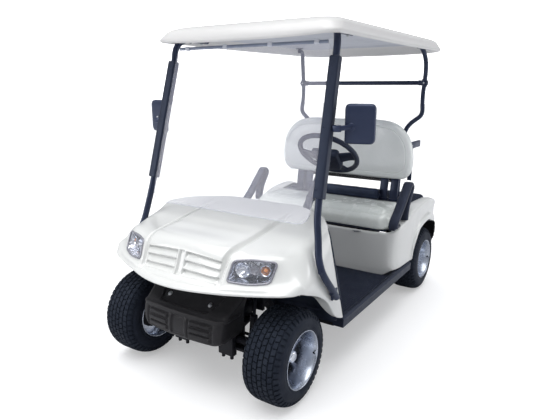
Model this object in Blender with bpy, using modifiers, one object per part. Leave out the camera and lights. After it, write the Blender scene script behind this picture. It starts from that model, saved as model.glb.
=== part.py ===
"""Two-seat golf cart: moulded body on a ladder frame, four low-profile wheels,
steered front axle, lifting seat, roof on two front posts and two rear struts.

Metres, +Z up, ground at z = 0, front towards -Y, +X is the driver's side.
y = 0 is halfway between the axles.
"""
import math

import bmesh
import bpy
import numpy as np
from mathutils import Matrix, Vector

# ---------------------------------------------------------------- dimensions
AXLE_Y = 0.835           # half of the wheelbase
TRACK_F = 0.450          # half of the front track
TRACK_R = 0.471          # half of the rear track
TYRE_R = 0.226
TYRE_W = 0.206
RIM_R = 0.1275           # bead seat
WHEEL_SIDES = 24
KINGPIN_X = 0.330
STEER_ARM = 0.115        # kingpin to tie rod pin
LENGTH = 2.250
SKIN = 0.006             # moulded body thickness
GAP = 0.0004             # between pieces that touch
RAIL_X = 0.190           # frame rail centre
FLOOR_TOP = 0.272
SILL_TOP = 0.300
POST_X_TOP, POST_Y_TOP, POST_Z_TOP = 0.501, -0.491, 1.559
POST_X_LOW, POST_Y_LOW, POST_Z_LOW = 0.524, -0.666, 0.937
POST_RAKE = math.atan2(POST_Y_TOP - POST_Y_LOW, POST_Z_TOP - POST_Z_LOW)
POST_R = 0.017
SLEEVE_W, SLEEVE_D = 0.050, 0.044
ROOF_LIP_Z = 1.661
ROOF_TOP_Z = 1.752
SEAT_HINGE_Y, SEAT_HINGE_Z = 0.250, 0.552
STEER_C = Vector((0.250, -0.064, 1.056))
STEER_AXIS = Vector((0, 0.66, 0.75)).normalized()
STEER_R = 0.184
BOUND_Y = LENGTH / 2

# --------------------------------------------------------------------- scene
for old in list(bpy.data.objects):
    bpy.data.objects.remove(old, do_unlink=True)
PARTS = bpy.data.collections.new("golf_cart")
TOOLS = bpy.data.collections.new("cutters")
bpy.context.scene.collection.children.link(PARTS)
bpy.context.scene.collection.children.link(TOOLS)


def material(name, rgb, rough, metal=0.0, alpha=1.0):
    mat = bpy.data.materials.new(name)
    mat.use_nodes = True
    bsdf = mat.node_tree.nodes["Principled BSDF"]
    bsdf.inputs["Base Color"].default_value = (*rgb, 1)
    bsdf.inputs["Roughness"].default_value = rough
    bsdf.inputs["Metallic"].default_value = metal
    bsdf.inputs["Alpha"].default_value = alpha
    return mat


FINISH = {  # name: colour, roughness, metallic, alpha
    "body": ((0.86, 0.86, 0.83), 0.18, 0.0, 1.0),
    "black_metal": ((0.010, 0.011, 0.018), 0.35, 0.3, 1.0),
    "black_plastic": ((0.020, 0.020, 0.024), 0.55, 0.0, 1.0),
    "bumper": ((0.040, 0.038, 0.037), 0.50, 0.0, 1.0),
    "vinyl": ((0.80, 0.82, 0.78), 0.30, 0.0, 1.0),
    "rubber": ((0.015, 0.016, 0.020), 0.75, 0.0, 1.0),
    "alloy": ((0.62, 0.63, 0.65), 0.22, 1.0, 1.0),
    "glass": ((0.80, 0.82, 0.86), 0.05, 0.0, 0.25),
    "lamp": ((0.75, 0.78, 0.85), 0.10, 0.4, 1.0),
    "red_lamp": ((0.45, 0.02, 0.02), 0.15, 0.0, 1.0),
    "battery": ((0.05, 0.05, 0.06), 0.60, 0.0, 1.0),
}


# ------------------------------------------------------------------- helpers
def add(name, mesh, finish, coll=None):
    obj = bpy.data.objects.new(name, mesh)
    (coll or PARTS).objects.link(obj)
    colour, rough, metal, alpha = FINISH[finish]
    obj.data.materials.clear()
    obj.data.materials.append(material(name, colour, rough, metal, alpha))
    return obj


def from_bmesh(name, bm, finish="body"):
    bmesh.ops.recalc_face_normals(bm, faces=bm.faces)
    mesh = bpy.data.meshes.new(name)
    bm.to_mesh(mesh)
    bm.free()
    return add(name, mesh, finish)


def baked(obj):
    """The object with its modifiers made real."""
    bpy.context.view_layer.update()
    graph = bpy.context.evaluated_depsgraph_get()
    mesh = bpy.data.meshes.new_from_object(obj.evaluated_get(graph))
    if obj.type == "CURVE":
        bm = bmesh.new()
        bm.from_mesh(mesh)
        bmesh.ops.remove_doubles(bm, verts=bm.verts, dist=1e-5)
        bmesh.ops.recalc_face_normals(bm, faces=bm.faces)
        bm.to_mesh(mesh)
        bm.free()
    name, world = obj.name, obj.matrix_world.copy()
    mats = [slot.material for slot in obj.material_slots]
    bpy.data.objects.remove(obj, do_unlink=True)
    new = bpy.data.objects.new(name, mesh)
    PARTS.objects.link(new)
    mesh.materials.clear()
    for mat in mats:
        mesh.materials.append(mat)
    mesh.transform(world)
    return new


def smooth(obj, degrees=35):
    obj.data.shade_smooth()
    obj.data.set_sharp_from_angle(angle=math.radians(degrees))
    return obj


def box(name, low, high, bevel=0.0, finish="body", segments=2):
    bm = bmesh.new()
    bmesh.ops.create_cube(bm, size=1.0)
    low, high = Vector(low), Vector(high)
    bmesh.ops.scale(bm, vec=high - low, verts=bm.verts)
    bmesh.ops.translate(bm, vec=(low + high) / 2, verts=bm.verts)
    if bevel:
        bmesh.ops.bevel(bm, geom=list(bm.edges), offset=bevel, segments=segments,
                        profile=0.5, affect="EDGES")
    return from_bmesh(name, bm, finish)


def beam(name, start, end, width, depth, finish="black_metal", side=(1, 0, 0), bevel=0.0):
    """A straight bar of rectangular section; width runs along side."""
    start, end = Vector(start), Vector(end)
    along = (end - start).normalized()
    across = Vector(side) - along * Vector(side).dot(along)
    across.normalize()
    third = along.cross(across)
    bm = bmesh.new()
    bmesh.ops.create_cube(bm, size=1.0)
    bmesh.ops.scale(bm, vec=(width, depth, (end - start).length), verts=bm.verts)
    if bevel:
        bmesh.ops.bevel(bm, geom=list(bm.edges), offset=bevel, segments=1,
                        profile=0.5, affect="EDGES")
    turn = Matrix((across, -third, along)).transposed().to_4x4()
    if turn.determinant() < 0:
        turn = Matrix((across, third, along)).transposed().to_4x4()
    bmesh.ops.transform(bm, matrix=Matrix.Translation((start + end) / 2) @ turn, verts=bm.verts)
    return from_bmesh(name, bm, finish)


def rod(name, start, end, radius, sides=16, finish="black_metal", radius2=None):
    start, end = Vector(start), Vector(end)
    bm = bmesh.new()
    bmesh.ops.create_cone(bm, cap_ends=True, segments=sides, radius1=radius,
                          radius2=radius if radius2 is None else radius2,
                          depth=(end - start).length)
    turn = (end - start).to_track_quat("Z", "Y").to_matrix().to_4x4()
    bmesh.ops.transform(bm, matrix=Matrix.Translation((start + end) / 2) @ turn, verts=bm.verts)
    return from_bmesh(name, bm, finish)


def curve_points(points, steps, closed=False):
    """Points on a Catmull-Rom curve through the given ones."""
    pts = [np.array(p, float) for p in points]
    n = len(pts)
    found = []
    for i in range(n if closed else n - 1):
        if closed:
            a, b, c, d = (pts[(i + k) % n] for k in (-1, 0, 1, 2))
        else:
            b, c = pts[i], pts[i + 1]
            a = pts[i - 1] if i else 2 * b - c
            d = pts[i + 2] if i + 2 < n else 2 * c - b
        for k in range(steps):
            t = k / steps
            found.append(0.5 * (2 * b + (c - a) * t + (2 * a - 5 * b + 4 * c - d) * t * t
                                + (3 * b - a - 3 * c + d) * t ** 3))
    if not closed:
        found.append(pts[-1])
    return found


def tube(name, points, radius, finish="black_metal", steps=4, closed=False):
    """A bent round tube, as a curve that is made a mesh."""
    pts = curve_points(points, steps, closed) if steps > 1 else points
    data = bpy.data.curves.new(name, "CURVE")
    data.dimensions = "3D"
    data.bevel_depth = radius
    data.bevel_resolution = 2
    data.use_fill_caps = True
    spline = data.splines.new("POLY")
    spline.points.add(len(pts) - 1)
    for point, co in zip(spline.points, pts):
        point.co = (*co, 1)
    spline.use_cyclic_u = closed
    return smooth(baked(add(name, data, finish)), 50)


def prism(name, outline, axis, low, high, finish="black_metal", bevel=0.0):
    """A flat outline given thickness along X, Y or Z.

    The outline's two numbers are the other two axes in X, Y, Z order."""
    data = bpy.data.curves.new(name, "CURVE")
    data.dimensions = "2D"
    data.fill_mode = "BOTH"
    data.extrude = (high - low) / 2
    spline = data.splines.new("POLY")
    spline.points.add(len(outline) - 1)
    for point, (u, v) in zip(spline.points, outline):
        point.co = (u, v, 0, 1)
    spline.use_cyclic_u = True
    obj = add(name, data, finish)
    mid = (low + high) / 2
    obj.matrix_world = {
        "X": Matrix(((0, 0, 1, mid), (1, 0, 0, 0), (0, 1, 0, 0), (0, 0, 0, 1))),
        "Y": Matrix(((1, 0, 0, 0), (0, 0, -1, mid), (0, 1, 0, 0), (0, 0, 0, 1))),
        "Z": Matrix.Translation((0, 0, mid)),
    }[axis]
    obj = baked(obj)
    if bevel:
        mod = obj.modifiers.new("edge", "BEVEL")
        mod.width, mod.segments, mod.limit_method = bevel, 2, "ANGLE"
        mod.angle_limit = math.radians(40)
        obj = baked(obj)
    return obj


def strap(name, path, thick, x0, x1, finish="black_metal", bevel=0.0, steps=2):
    """A bent flat bar: a path of (y, z) seen from the side, thickened, from x0 to x1."""
    pts = [(p[1], p[2]) for p in curve_points([(0, y, z) for y, z in path], steps)]
    upper, lower = [], []
    for k, (y, z) in enumerate(pts):
        a, b = pts[max(k - 1, 0)], pts[min(k + 1, len(pts) - 1)]
        dy, dz = b[0] - a[0], b[1] - a[1]
        size = math.hypot(dy, dz) * 2 / thick
        upper.append((y - dz / size, z + dy / size))
        lower.append((y + dz / size, z - dy / size))
    return prism(name, upper + lower[::-1], "X", x0, x1, finish, bevel)


def grid(name, rows, finish, thickness=0.0, mirror=True, flip=False):
    """A surface through rows of points, given thickness and mirrored in x = 0."""
    bm = bmesh.new()
    verts = [[bm.verts.new(tuple(p)) for p in row] for row in rows]
    for a, b in zip(verts, verts[1:]):
        for i in range(len(a) - 1):
            quad = (a[i], a[i + 1], b[i + 1], b[i])
            bm.faces.new(quad[::-1] if flip else quad)
    mesh = bpy.data.meshes.new(name)
    bm.to_mesh(mesh)
    bm.free()
    obj = add(name, mesh, finish)
    if mirror:
        mod = obj.modifiers.new("mirror", "MIRROR")
        mod.merge_threshold = 0.0001
    if thickness:
        mod = obj.modifiers.new("thickness", "SOLIDIFY")
        mod.thickness, mod.offset = thickness, -1
        mod.use_even_offset = False
    return smooth(baked(obj), 40)


def refined(table, across, along):
    """A denser grid of points through a small table of them."""
    rows = [curve_points(row, across) for row in table]
    columns = [curve_points(column, along) for column in zip(*rows)]
    return [list(row) for row in zip(*columns)]


def stack(name, rings, finish):
    """A closed solid lofted through rings that have the same number of points."""
    bm = bmesh.new()
    loops = [[bm.verts.new(tuple(p)) for p in ring] for ring in rings]
    n = len(loops[0])
    for a, b in zip(loops, loops[1:]):
        for i in range(n):
            bm.faces.new((a[i], a[(i + 1) % n], b[(i + 1) % n], b[i]))
    bm.faces.new(loops[0][::-1])
    bm.faces.new(loops[-1])
    bmesh.ops.triangulate(bm, faces=[f for f in bm.faces if len(f.verts) > 4])
    return smooth(from_bmesh(name, bm, finish), 35)


def rounded(half_x, y0, y1, radius, steps=4):
    """A rectangle in plan, about x = 0, with round corners."""
    pts = []
    for cx, cy, start in ((half_x, y1, 0), (-half_x, y1, 90), (-half_x, y0, 180), (half_x, y0, 270)):
        ox = cx - math.copysign(radius, cx)
        oy = cy - radius if start in (0, 90) else cy + radius
        for k in range(steps + 1):
            a = math.radians(start + 90 * k / steps)
            pts.append((ox + radius * math.cos(a), oy + radius * math.sin(a)))
    return pts


def join(obj, others, operation="UNION", keep=False):
    for other in others:
        mod = obj.modifiers.new("join", "BOOLEAN")
        mod.operation, mod.object, mod.solver = operation, other, "EXACT"
    obj = baked(obj)
    if not keep:
        for other in others:
            bpy.data.objects.remove(other, do_unlink=True)
    return obj


def cutter(obj):
    for coll in list(obj.users_collection):
        coll.objects.unlink(obj)
    TOOLS.objects.link(obj)
    obj.hide_render = True
    obj.display_type = "WIRE"
    return obj


def hull(name, points, finish="body"):
    bm = bmesh.new()
    for p in points:
        bm.verts.new(tuple(p))
    found = bmesh.ops.convex_hull(bm, input=bm.verts)
    loose = [g for g in found["geom_interior"] + found["geom_unused"]
             if isinstance(g, bmesh.types.BMVert)]
    bmesh.ops.delete(bm, geom=loose, context="VERTS")
    return from_bmesh(name, bm, finish)


def other_side(obj, name):
    """The same piece on the other side of the cart."""
    mesh = obj.data.copy()
    mesh.transform(obj.matrix_world)
    mesh.transform(Matrix.Scale(-1, 4, (1, 0, 0)))
    bm = bmesh.new()
    bm.from_mesh(mesh)
    bmesh.ops.reverse_faces(bm, faces=bm.faces)
    bm.to_mesh(mesh)
    bm.free()
    new = bpy.data.objects.new(name, mesh)
    PARTS.objects.link(new)
    mat = obj.data.materials[0].copy()
    mat.name = name
    mesh.materials.clear()
    mesh.materials.append(mat)
    return new


def set_origin(obj, point):
    """Puts the object's origin on its joint."""
    obj.data.transform(Matrix.Translation(-Vector(point)) @ obj.matrix_world)
    obj.matrix_world = Matrix.Translation(point)


def on_empty(name, point, children):
    """An empty on a joint's axis, which carries the pieces that move with it."""
    empty = bpy.data.objects.new(name, None)
    empty.location = point
    PARTS.objects.link(empty)
    bpy.context.view_layer.update()
    for child in children:
        world = child.matrix_world.copy()
        child.parent = empty
        child.matrix_parent_inverse = Matrix.Translation(-Vector(point))
        child.matrix_world = world
    return empty


def post_at(z, offset=0.0):
    """A point on the left post's axis at height z, moved by offset at right angles to its front."""
    t = (POST_Z_TOP - z) / (POST_Z_TOP - POST_Z_LOW)
    x = POST_X_TOP + (POST_X_LOW - POST_X_TOP) * t
    y = POST_Y_TOP + (POST_Y_LOW - POST_Y_TOP) * t
    return Vector((x, y - offset * math.cos(POST_RAKE), z + offset * math.sin(POST_RAKE)))


# ------------------------------------------------------------- wheels, tyres
def turned(name, profile, finish, sides=WHEEL_SIDES):
    """A closed profile of (offset, radius) turned about X, with a flat facet at the bottom."""
    true = 1 / math.cos(math.pi / sides)
    bm = bmesh.new()
    verts = [bm.verts.new((x, 0, -r * true)) for x, r in profile]
    for a, b in zip(verts, verts[1:] + verts[:1]):
        bm.edges.new((a, b))
    mesh = bpy.data.meshes.new(name)
    bm.to_mesh(mesh)
    bm.free()
    obj = add(name, mesh, finish)
    mod = obj.modifiers.new("turn", "SCREW")
    mod.axis, mod.steps, mod.render_steps = "X", sides, sides
    mod.use_merge_vertices, mod.merge_threshold = True, 0.0001
    obj = baked(obj)
    bm = bmesh.new()
    bm.from_mesh(obj.data)
    bmesh.ops.rotate(bm, verts=bm.verts, cent=(0, 0, 0),
                     matrix=Matrix.Rotation(math.pi / sides, 3, "X"))
    bmesh.ops.recalc_face_normals(bm, faces=bm.faces)
    bm.to_mesh(obj.data)
    bm.free()
    return smooth(obj, 30)


TYRE_PROFILE = [  # offset from the centre plane, radius; closed round the carcass
    (-0.050, 0.226), (0.050, 0.226), (0.088, 0.205), (0.103, 0.166), (0.096, 0.1290),
    (0.084, 0.1290), (0.090, 0.166), (0.060, 0.203), (-0.060, 0.203), (-0.090, 0.166),
    (-0.084, 0.1290), (-0.096, 0.1290), (-0.103, 0.166), (-0.088, 0.205),
]
RIM_PROFILE = [  # barrel: offset, radius; + is the outer side of the wheel
    (-0.098, 0.1285), (0.098, 0.1285), (0.098, 0.1220), (0.030, 0.1060), (-0.040, 0.1060), (-0.098, 0.1220),
]
SPOKES = 5


def make_wheel(name):
    rim = turned(name, RIM_PROFILE, "alloy")
    hub = rod("hub", (-0.012, 0, 0), (0.040, 0, 0), 0.040, 16, "alloy")
    spokes = []
    for k in range(SPOKES):
        a = 2 * math.pi * k / SPOKES
        out = Vector((0, math.sin(a), math.cos(a)))
        spokes.append(beam(f"spoke{k}", out * 0.020 + Vector((0.014, 0, 0)),
                           out * 0.1120 + Vector((0.018, 0, 0)), 0.018, 0.044, "alloy"))
    return smooth(join(rim, [hub] + spokes), 30)


tyre0 = turned("tyre_front_left", TYRE_PROFILE, "rubber")
wheel0 = make_wheel("wheel_front_left")
CORNERS = {  # name: x, y
    "front_left": (TRACK_F, -AXLE_Y), "front_right": (-TRACK_F, -AXLE_Y),
    "rear_left": (TRACK_R, AXLE_Y), "rear_right": (-TRACK_R, AXLE_Y),
}
for corner, (wx, wy) in CORNERS.items():
    for kind, first in (("tyre", tyre0), ("wheel", wheel0)):
        if corner == "front_left":
            obj = first
        else:
            obj = bpy.data.objects.new(f"{kind}_{corner}", first.data)
            PARTS.objects.link(obj)
        turn = Matrix.Rotation(math.pi, 4, "Z") if wx < 0 else Matrix.Identity(4)
        obj.matrix_world = Matrix.Translation((wx, wy, TYRE_R)) @ turn

# --------------------------------------------------------------- front cowl
COWL = [  # rows run from the rear edge to the front lip; columns from the centre to the wheel arch
    # centre              inner               groove              outer               headlight           shoulder            upper side          side                arch edge
    [(0, -.330, .800), (.130, -.336, .802), (.265, -.358, .803), (.380, -.420, .800), (.455, -.490, .797), (.510, -.565, .786), (.537, -.585, .752), (.560, -.588, .660), (.580, -.500, .310)],
    [(0, -.470, .790), (.130, -.475, .791), (.256, -.485, .790), (.360, -.525, .784), (.435, -.580, .776), (.500, -.635, .758), (.533, -.665, .712), (.569, -.660, .600), (.582, -.580, .352)],
    [(0, -.650, .768), (.130, -.655, .769), (.258, -.660, .766), (.355, -.685, .758), (.430, -.715, .750), (.496, -.745, .730), (.538, -.760, .675), (.575, -.745, .585), (.585, -.660, .445)],
    [(0, -.850, .742), (.130, -.852, .742), (.256, -.855, .737), (.345, -.850, .728), (.420, -.840, .722), (.487, -.835, .705), (.538, -.835, .655), (.577, -.825, .600), (.586, -.770, .522)],
    [(0, -.992, .711), (.130, -.993, .707), (.245, -.985, .696), (.285, -.975, .693), (.385, -.940, .695), (.458, -.903, .690), (.522, -.885, .648), (.572, -.878, .610), (.586, -.850, .556)],
    [(0, -1.055, .590), (.130, -1.052, .590), (.235, -1.038, .592), (.280, -1.022, .604), (.380, -.985, .607), (.452, -.950, .609), (.518, -.922, .607), (.562, -.908, .603), (.583, -.890, .573)],
    [(0, -1.125, .556), (.130, -1.109, .556), (.240, -1.071, .557), (.300, -1.050, .558), (.390, -1.014, .559), (.465, -.982, .560), (.518, -.957, .562), (.551, -.933, .566), (.571, -.911, .571)],
]
LAMP_FRONT = [(.275, -.985, .688), (.276, -1.026, .602), (.449, -.957, .606), (.453, -.909, .692)]
front_cowl = grid("front_cowl", refined(COWL, 2, 1), "body", SKIN, flip=True)


def lamp_points(grow, forward, back):
    pts = []
    mid = sum((Vector(p) for p in LAMP_FRONT), Vector()) / 4
    for depth in (-forward, back):
        for p in LAMP_FRONT:
            q = mid + (Vector(p) - mid) * grow
            pts.append(q + Vector((-0.35 * depth, 0.90 * depth, 0.0)))
    return pts


headlight_left = hull("headlight_left", lamp_points(0.97, 0.004, 0.085), "lamp")
lamp_hole = cutter(hull("lamp_hole", lamp_points(1.0, 0.060, 0.120), "body"))
lamp_hole_r = cutter(other_side(lamp_hole, "lamp_hole_right"))
front_cowl = join(front_cowl, [lamp_hole, lamp_hole_r], "DIFFERENCE")
headlight_right = other_side(headlight_left, "headlight_right")

# -------------------------------------------------------------- front bumper
BUMPER = [  # half width, front y, back y, corner radius, z
    (0.282, -0.925, -0.880, 0.020, 0.500),
    (0.262, -0.985, -0.880, 0.030, 0.445),
    (0.252, -1.046, -0.880, 0.035, 0.403),
    (0.248, -1.068, -0.880, 0.042, 0.335),
    (0.240, -1.066, -0.890, 0.045, 0.299),
    (0.216, -1.050, -0.930, 0.045, 0.281),
]


def u_shape(half, front, back, radius, z, sign=-1, steps=4):
    """Half of a U in plan, from the centre round the corner and back."""
    pts = [(0, front, z), (half * 0.45, front - sign * 0.006, z)]
    for k in range(steps + 1):
        a = math.radians(90 * k / steps)
        pts.append((half - radius + radius * math.sin(a),
                    front - sign * (0.012 + radius - radius * math.cos(a)), z))
    pts.append((half, back, z))
    return pts


front_bumper = grid("front_bumper", [u_shape(*row) for row in BUMPER], "bumper", 0.008, flip=True)

# ------------------------------------------------------- dash and bulkhead
DASH = [  # rows from the cowl's rear edge down to the floor; columns from the centre outwards
    [(0, -.340, .788), (.130, -.346, .790), (.262, -.368, .790), (.372, -.430, .786), (.444, -.500, .781), (.497, -.570, .765)],
    [(0, -.352, .735), (.130, -.358, .735), (.262, -.380, .735), (.375, -.440, .735), (.455, -.510, .733), (.522, -.572, .725)],
    [(0, -.400, .640), (.130, -.403, .640), (.262, -.420, .640), (.380, -.460, .640), (.470, -.510, .640), (.548, -.560, .640)],
    [(0, -.490, .500), (.130, -.490, .500), (.262, -.492, .500), (.385, -.500, .500), (.480, -.515, .500), (.558, -.530, .500)],
    [(0, -.520, .380), (.130, -.520, .380), (.262, -.520, .380), (.390, -.516, .380), (.485, -.510, .380), (.562, -.500, .380)],
    [(0, -.520, .276), (.130, -.520, .276), (.262, -.520, .276), (.390, -.514, .276), (.485, -.505, .276), (.528, -.495, .276)],
]
dashboard = grid("dashboard", refined(DASH, 1, 1), "black_plastic", 0.008, flip=False)

# ------------------------------------------------------------- floor and sills
floor_pan = prism("floor_pan", [
    (-.578, .245), (.578, .245), (.580, .290), (.570, SILL_TOP), (.552, SILL_TOP), (.538, FLOOR_TOP),
    (-.538, FLOOR_TOP), (-.552, SILL_TOP), (-.570, SILL_TOP), (-.580, .290)],
    "Y", -0.488, 0.520, "black_plastic")
floor_under = cutter(box("floor_under", (-.520, -0.6, .20), (.520, 0.6, .260)))
floor_pan = join(floor_pan, [floor_under], "DIFFERENCE")

# ---------------------------------------------------------------- rear body
REAR = [  # x, y of the wall; outward normal x, y; top z; bottom z; width of the inner flange
    (0.000, 0.245, 0.0, -1.0, 0.543, 0.274, 0.030),
    (0.300, 0.245, 0.0, -1.0, 0.543, 0.274, 0.030),
    (0.480, 0.246, 0.0, -1.0, 0.547, 0.274, 0.032),
    (0.541, 0.264, 0.7, -0.7, 0.560, 0.312, 0.040),
    (0.565, 0.310, 1.0, -0.1, 0.582, 0.312, 0.056),
    (0.574, 0.400, 1.0, 0.0, 0.610, 0.312, 0.066),
    (0.580, 0.520, 1.0, 0.0, 0.650, 0.312, 0.072),
    (0.586, 0.580, 1.0, 0.0, 0.662, 0.440, 0.078),
    (0.588, 0.650, 1.0, 0.0, 0.672, 0.508, 0.080),
    (0.590, 0.800, 1.0, 0.0, 0.680, 0.528, 0.066),
    (0.586, 0.930, 1.0, 0.1, 0.652, 0.492, 0.060),
    (0.565, 1.030, 0.8, 0.6, 0.612, 0.466, 0.066),
    (0.500, 1.085, 0.3, 1.0, 0.590, 0.464, 0.060),
    (0.300, 1.100, 0.0, 1.0, 0.585, 0.464, 0.055),
    (0.000, 1.104, 0.0, 1.0, 0.585, 0.464, 0.055),
]


def rear_section(x, y, nx, ny, top, low, flange):
    """From the inner edge of the top, over the shoulder, to the bottom edge."""
    size = math.hypot(nx, ny)
    nx, ny = nx / size, ny / size
    drop = top - low
    levels = [(-flange, top - 0.008), (-0.5 * flange, top), (-0.010, top - 0.012),
              (0.0, top - 0.22 * drop), (-0.004, top - 0.6 * drop), (-0.006, low)]
    return [(max(0.0, x + nx * d), y + ny * d, z) for d, z in levels]


rear_rows = [rear_section(*row) for row in REAR]
rear_rows = [list(column) for column in zip(*rear_rows)]
rear_body = grid("rear_body", rear_rows, "body", SKIN, flip=True)

bag_deck = prism("bag_deck", [
    (-.490, .640), (.490, .640), (.512, .800), (.512, .920), (.480, .985), (.40, 1.010), (-.40, 1.010),
    (-.480, .985), (-.512, .920), (-.512, .800)],
    "Z", 0.646, 0.658, "black_plastic")

battery_pack = box("battery_pack", (-0.300, 0.285, FLOOR_TOP + GAP), (0.300, 0.500, 0.500), 0.006, "battery", 1)

# ------------------------------------------------------------------ chassis
RAIL = [  # y, z of the rail's lower edge from front to rear
    (-0.975, 0.345), (-0.620, 0.345), (-0.520, 0.203), (0.525, 0.203), (0.600, 0.360), (1.070, 0.360),
]
RAIL_H, RAIL_W = 0.052, 0.040
rail_outline = RAIL + [(y, z + RAIL_H) for y, z in reversed(RAIL)]
rail_l = prism("rail_l", rail_outline, "X", RAIL_X - RAIL_W / 2, RAIL_X + RAIL_W / 2)
rail_r = prism("rail_r", rail_outline, "X", -RAIL_X - RAIL_W / 2, -RAIL_X + RAIL_W / 2)
CROSS = [  # half width, y0, y1, z0, z1
    (0.205, -0.968, -0.930, 0.350, 0.392),
    (0.205, -0.660, -0.620, 0.350, 0.392),
    (0.500, -0.440, -0.400, 0.215, 0.250),
    (0.500, 0.180, 0.220, 0.215, 0.250),
    (0.330, 0.575, 0.612, 0.368, 0.405),
    (0.330, 1.030, 1.064, 0.368, 0.405),
    (0.500, 0.660, 0.690, 0.612, 0.6455),
    (0.400, 0.955, 0.985, 0.612, 0.6455),
]
chassis_bits = [rail_r] + [box(f"cross{k}", (-hw, y0, z0), (hw, y1, z1), 0, "black_metal")
                           for k, (hw, y0, y1, z0, z1) in enumerate(CROSS)]
UPRIGHTS = [  # x, y0, y1, z0, z1
    (0.190, 0.662, 0.688, 0.400, 0.620),
    (0.190, 0.957, 0.983, 0.400, 0.620),
]
for x, y0, y1, z0, z1 in UPRIGHTS:
    for s in (1, -1):
        chassis_bits.append(box("upright", (s * x - 0.013, y0, z0), (s * x + 0.013, y1, z1), 0, "black_metal"))
for s in (1, -1):
    a, b = sorted((s * 0.200, s * 0.256))
    chassis_bits.append(box("tower_low", (a, -0.732, 0.352), (b, -0.714, 0.376), 0, "black_metal"))
    a, b = sorted((s * 0.214, s * 0.256))
    chassis_bits.append(box("tower_web", (a, -0.731, 0.354), (b, -0.715, 0.500), 0, "black_metal"))
    chassis_bits.append(box("tower_cap", (a, -0.778, 0.490), (b, -0.715, 0.500), 0, "black_metal"))
    a, b = sorted((s * 0.180, s * 0.360))
    chassis_bits.append(box("tower_rear", (a, 0.662, 0.520), (b, 0.714, 0.545), 0, "black_metal"))
chassis_bits.append(box("hitch_neck", (-0.050, 1.038, 0.285), (0.050, 1.052, 0.380), 0, "black_metal"))
chassis_bits.append(box("hitch_plate", (-0.060, 1.036, 0.190), (0.060, 1.060, 0.288), 0, "black_metal"))
chassis_frame = join(rail_l, chassis_bits)
chassis_frame.name = "chassis_frame"

# --------------------------------------------------------- front axle, springs
AZ = TYRE_R
front_axle = rod("front_axle", (-0.300, -AXLE_Y, AZ), (0.300, -AXLE_Y, AZ), 0.022, 16)
yoke = []
for s in (1, -1):
    a, b = sorted((s * 0.290, s * 0.302))
    yoke.append(box("web", (a, -AXLE_Y - 0.016, AZ - 0.076), (b, -AXLE_Y + 0.016, AZ + 0.076), 0, "black_metal"))
    a, b = sorted((s * 0.290, s * 0.350))
    yoke.append(box("ear_low", (a, -AXLE_Y - 0.020, AZ - 0.076), (b, -AXLE_Y + 0.020, AZ - 0.062), 0, "black_metal"))
    yoke.append(box("ear_top", (a, -AXLE_Y - 0.020, AZ + 0.062), (b, -AXLE_Y + 0.020, AZ + 0.076), 0, "black_metal"))
front_axle = join(front_axle, yoke)


def leaf_outline(yc, half, z0, rise, thick, steps=8):
    """A leaf pack seen from the side: an arc, thicker in the middle."""
    low = [(yc + half * t, z0 + rise * t * t) for t in np.linspace(-1, 1, steps + 1)]
    top = [(yc + half * t, z0 + rise * t * t + thick * (1 - 0.5 * abs(t))) for t in np.linspace(1, -1, steps + 1)]
    return low + top


def suspension(name, x, yc, z_top, half, rise, shock_x, shock_top, cheek=0.0):
    """A leaf pack with its axle clamp and a shock absorber."""
    w = 0.022
    leaf = prism(name, leaf_outline(yc, half, z_top + GAP, rise, 0.020), "X", x - w, x + w)
    bits = []
    for e in (-1, 1):
        zc = z_top + rise + 0.008
        bits.append(rod("eye", (x - w, yc + e * half, zc), (x + w, yc + e * half, zc), 0.016, 12))
    r = z_top - AZ
    bits.append(box("clamp", (x - 0.034, yc - r - 0.020, z_top + GAP), (x + 0.034, yc + r + 0.020, z_top + 0.030), 0, "black_metal"))
    for e in (-1, 1):
        y0, y1 = sorted((yc + e * (r + 0.004), yc + e * (r + 0.018)))
        bits.append(box("u_bolt", (x - 0.034, y0, AZ - r - 0.016), (x + 0.034, y1, z_top + 0.010), 0, "black_metal"))
    a, b = sorted((x - math.copysign(0.034, x), shock_x + math.copysign(0.016, x)))
    bits.append(box("plate", (a, yc - r - 0.018, AZ - r - 0.016), (b, yc + r + 0.018, AZ - r - 0.004), 0, "black_metal"))
    top = Vector(shock_top)
    foot = Vector((shock_x, top.y * 0.4 + yc * 0.6, AZ - r - 0.012))
    foot.y = yc + math.copysign(r + 0.022, top.y - yc)
    bits[-1] = bits[-1]
    bits.append(box("shock_foot", (shock_x - 0.016, foot.y - 0.016, AZ - r - 0.016), (shock_x + 0.016, foot.y + 0.016, AZ - r + 0.010), 0, "black_metal"))
    mid = foot.lerp(top, 0.5)
    bits.append(rod("shock_low", foot + Vector((0, 0, 0.004)), mid, 0.019, 12))
    bits.append(rod("shock_rod", mid - (top - foot) * 0.02, top, 0.009, 10))
    if cheek:   # the axle saddle's plates, before and behind the axle, with their bolts
        for e, deep in ((-1, cheek), (1, 0.6 * cheek)):
            y0, y1 = sorted((yc + e * (r + 0.0035), yc + e * (r + 0.0035 + deep)))
            bits.append(box("cheek", (x - 0.046, y0, AZ - 0.072), (x + 0.046, y1, z_top + 0.058), 0.004, "black_metal", 1))
        for dx in (-0.026, 0.026):
            bits.append(rod("bolt", (x + dx, yc - r - 0.020, AZ - 0.092), (x + dx, yc - r - 0.020, AZ - 0.050), 0.009, 8))
    return smooth(join(leaf, bits), 30)


front_suspension_left = suspension("front_suspension_left", 0.146, -AXLE_Y, AZ + 0.022, 0.145, 0.030,
                                   0.234, (0.234, -0.757, 0.4870), 0.034)
front_suspension_right = other_side(front_suspension_left, "front_suspension_right")

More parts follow.
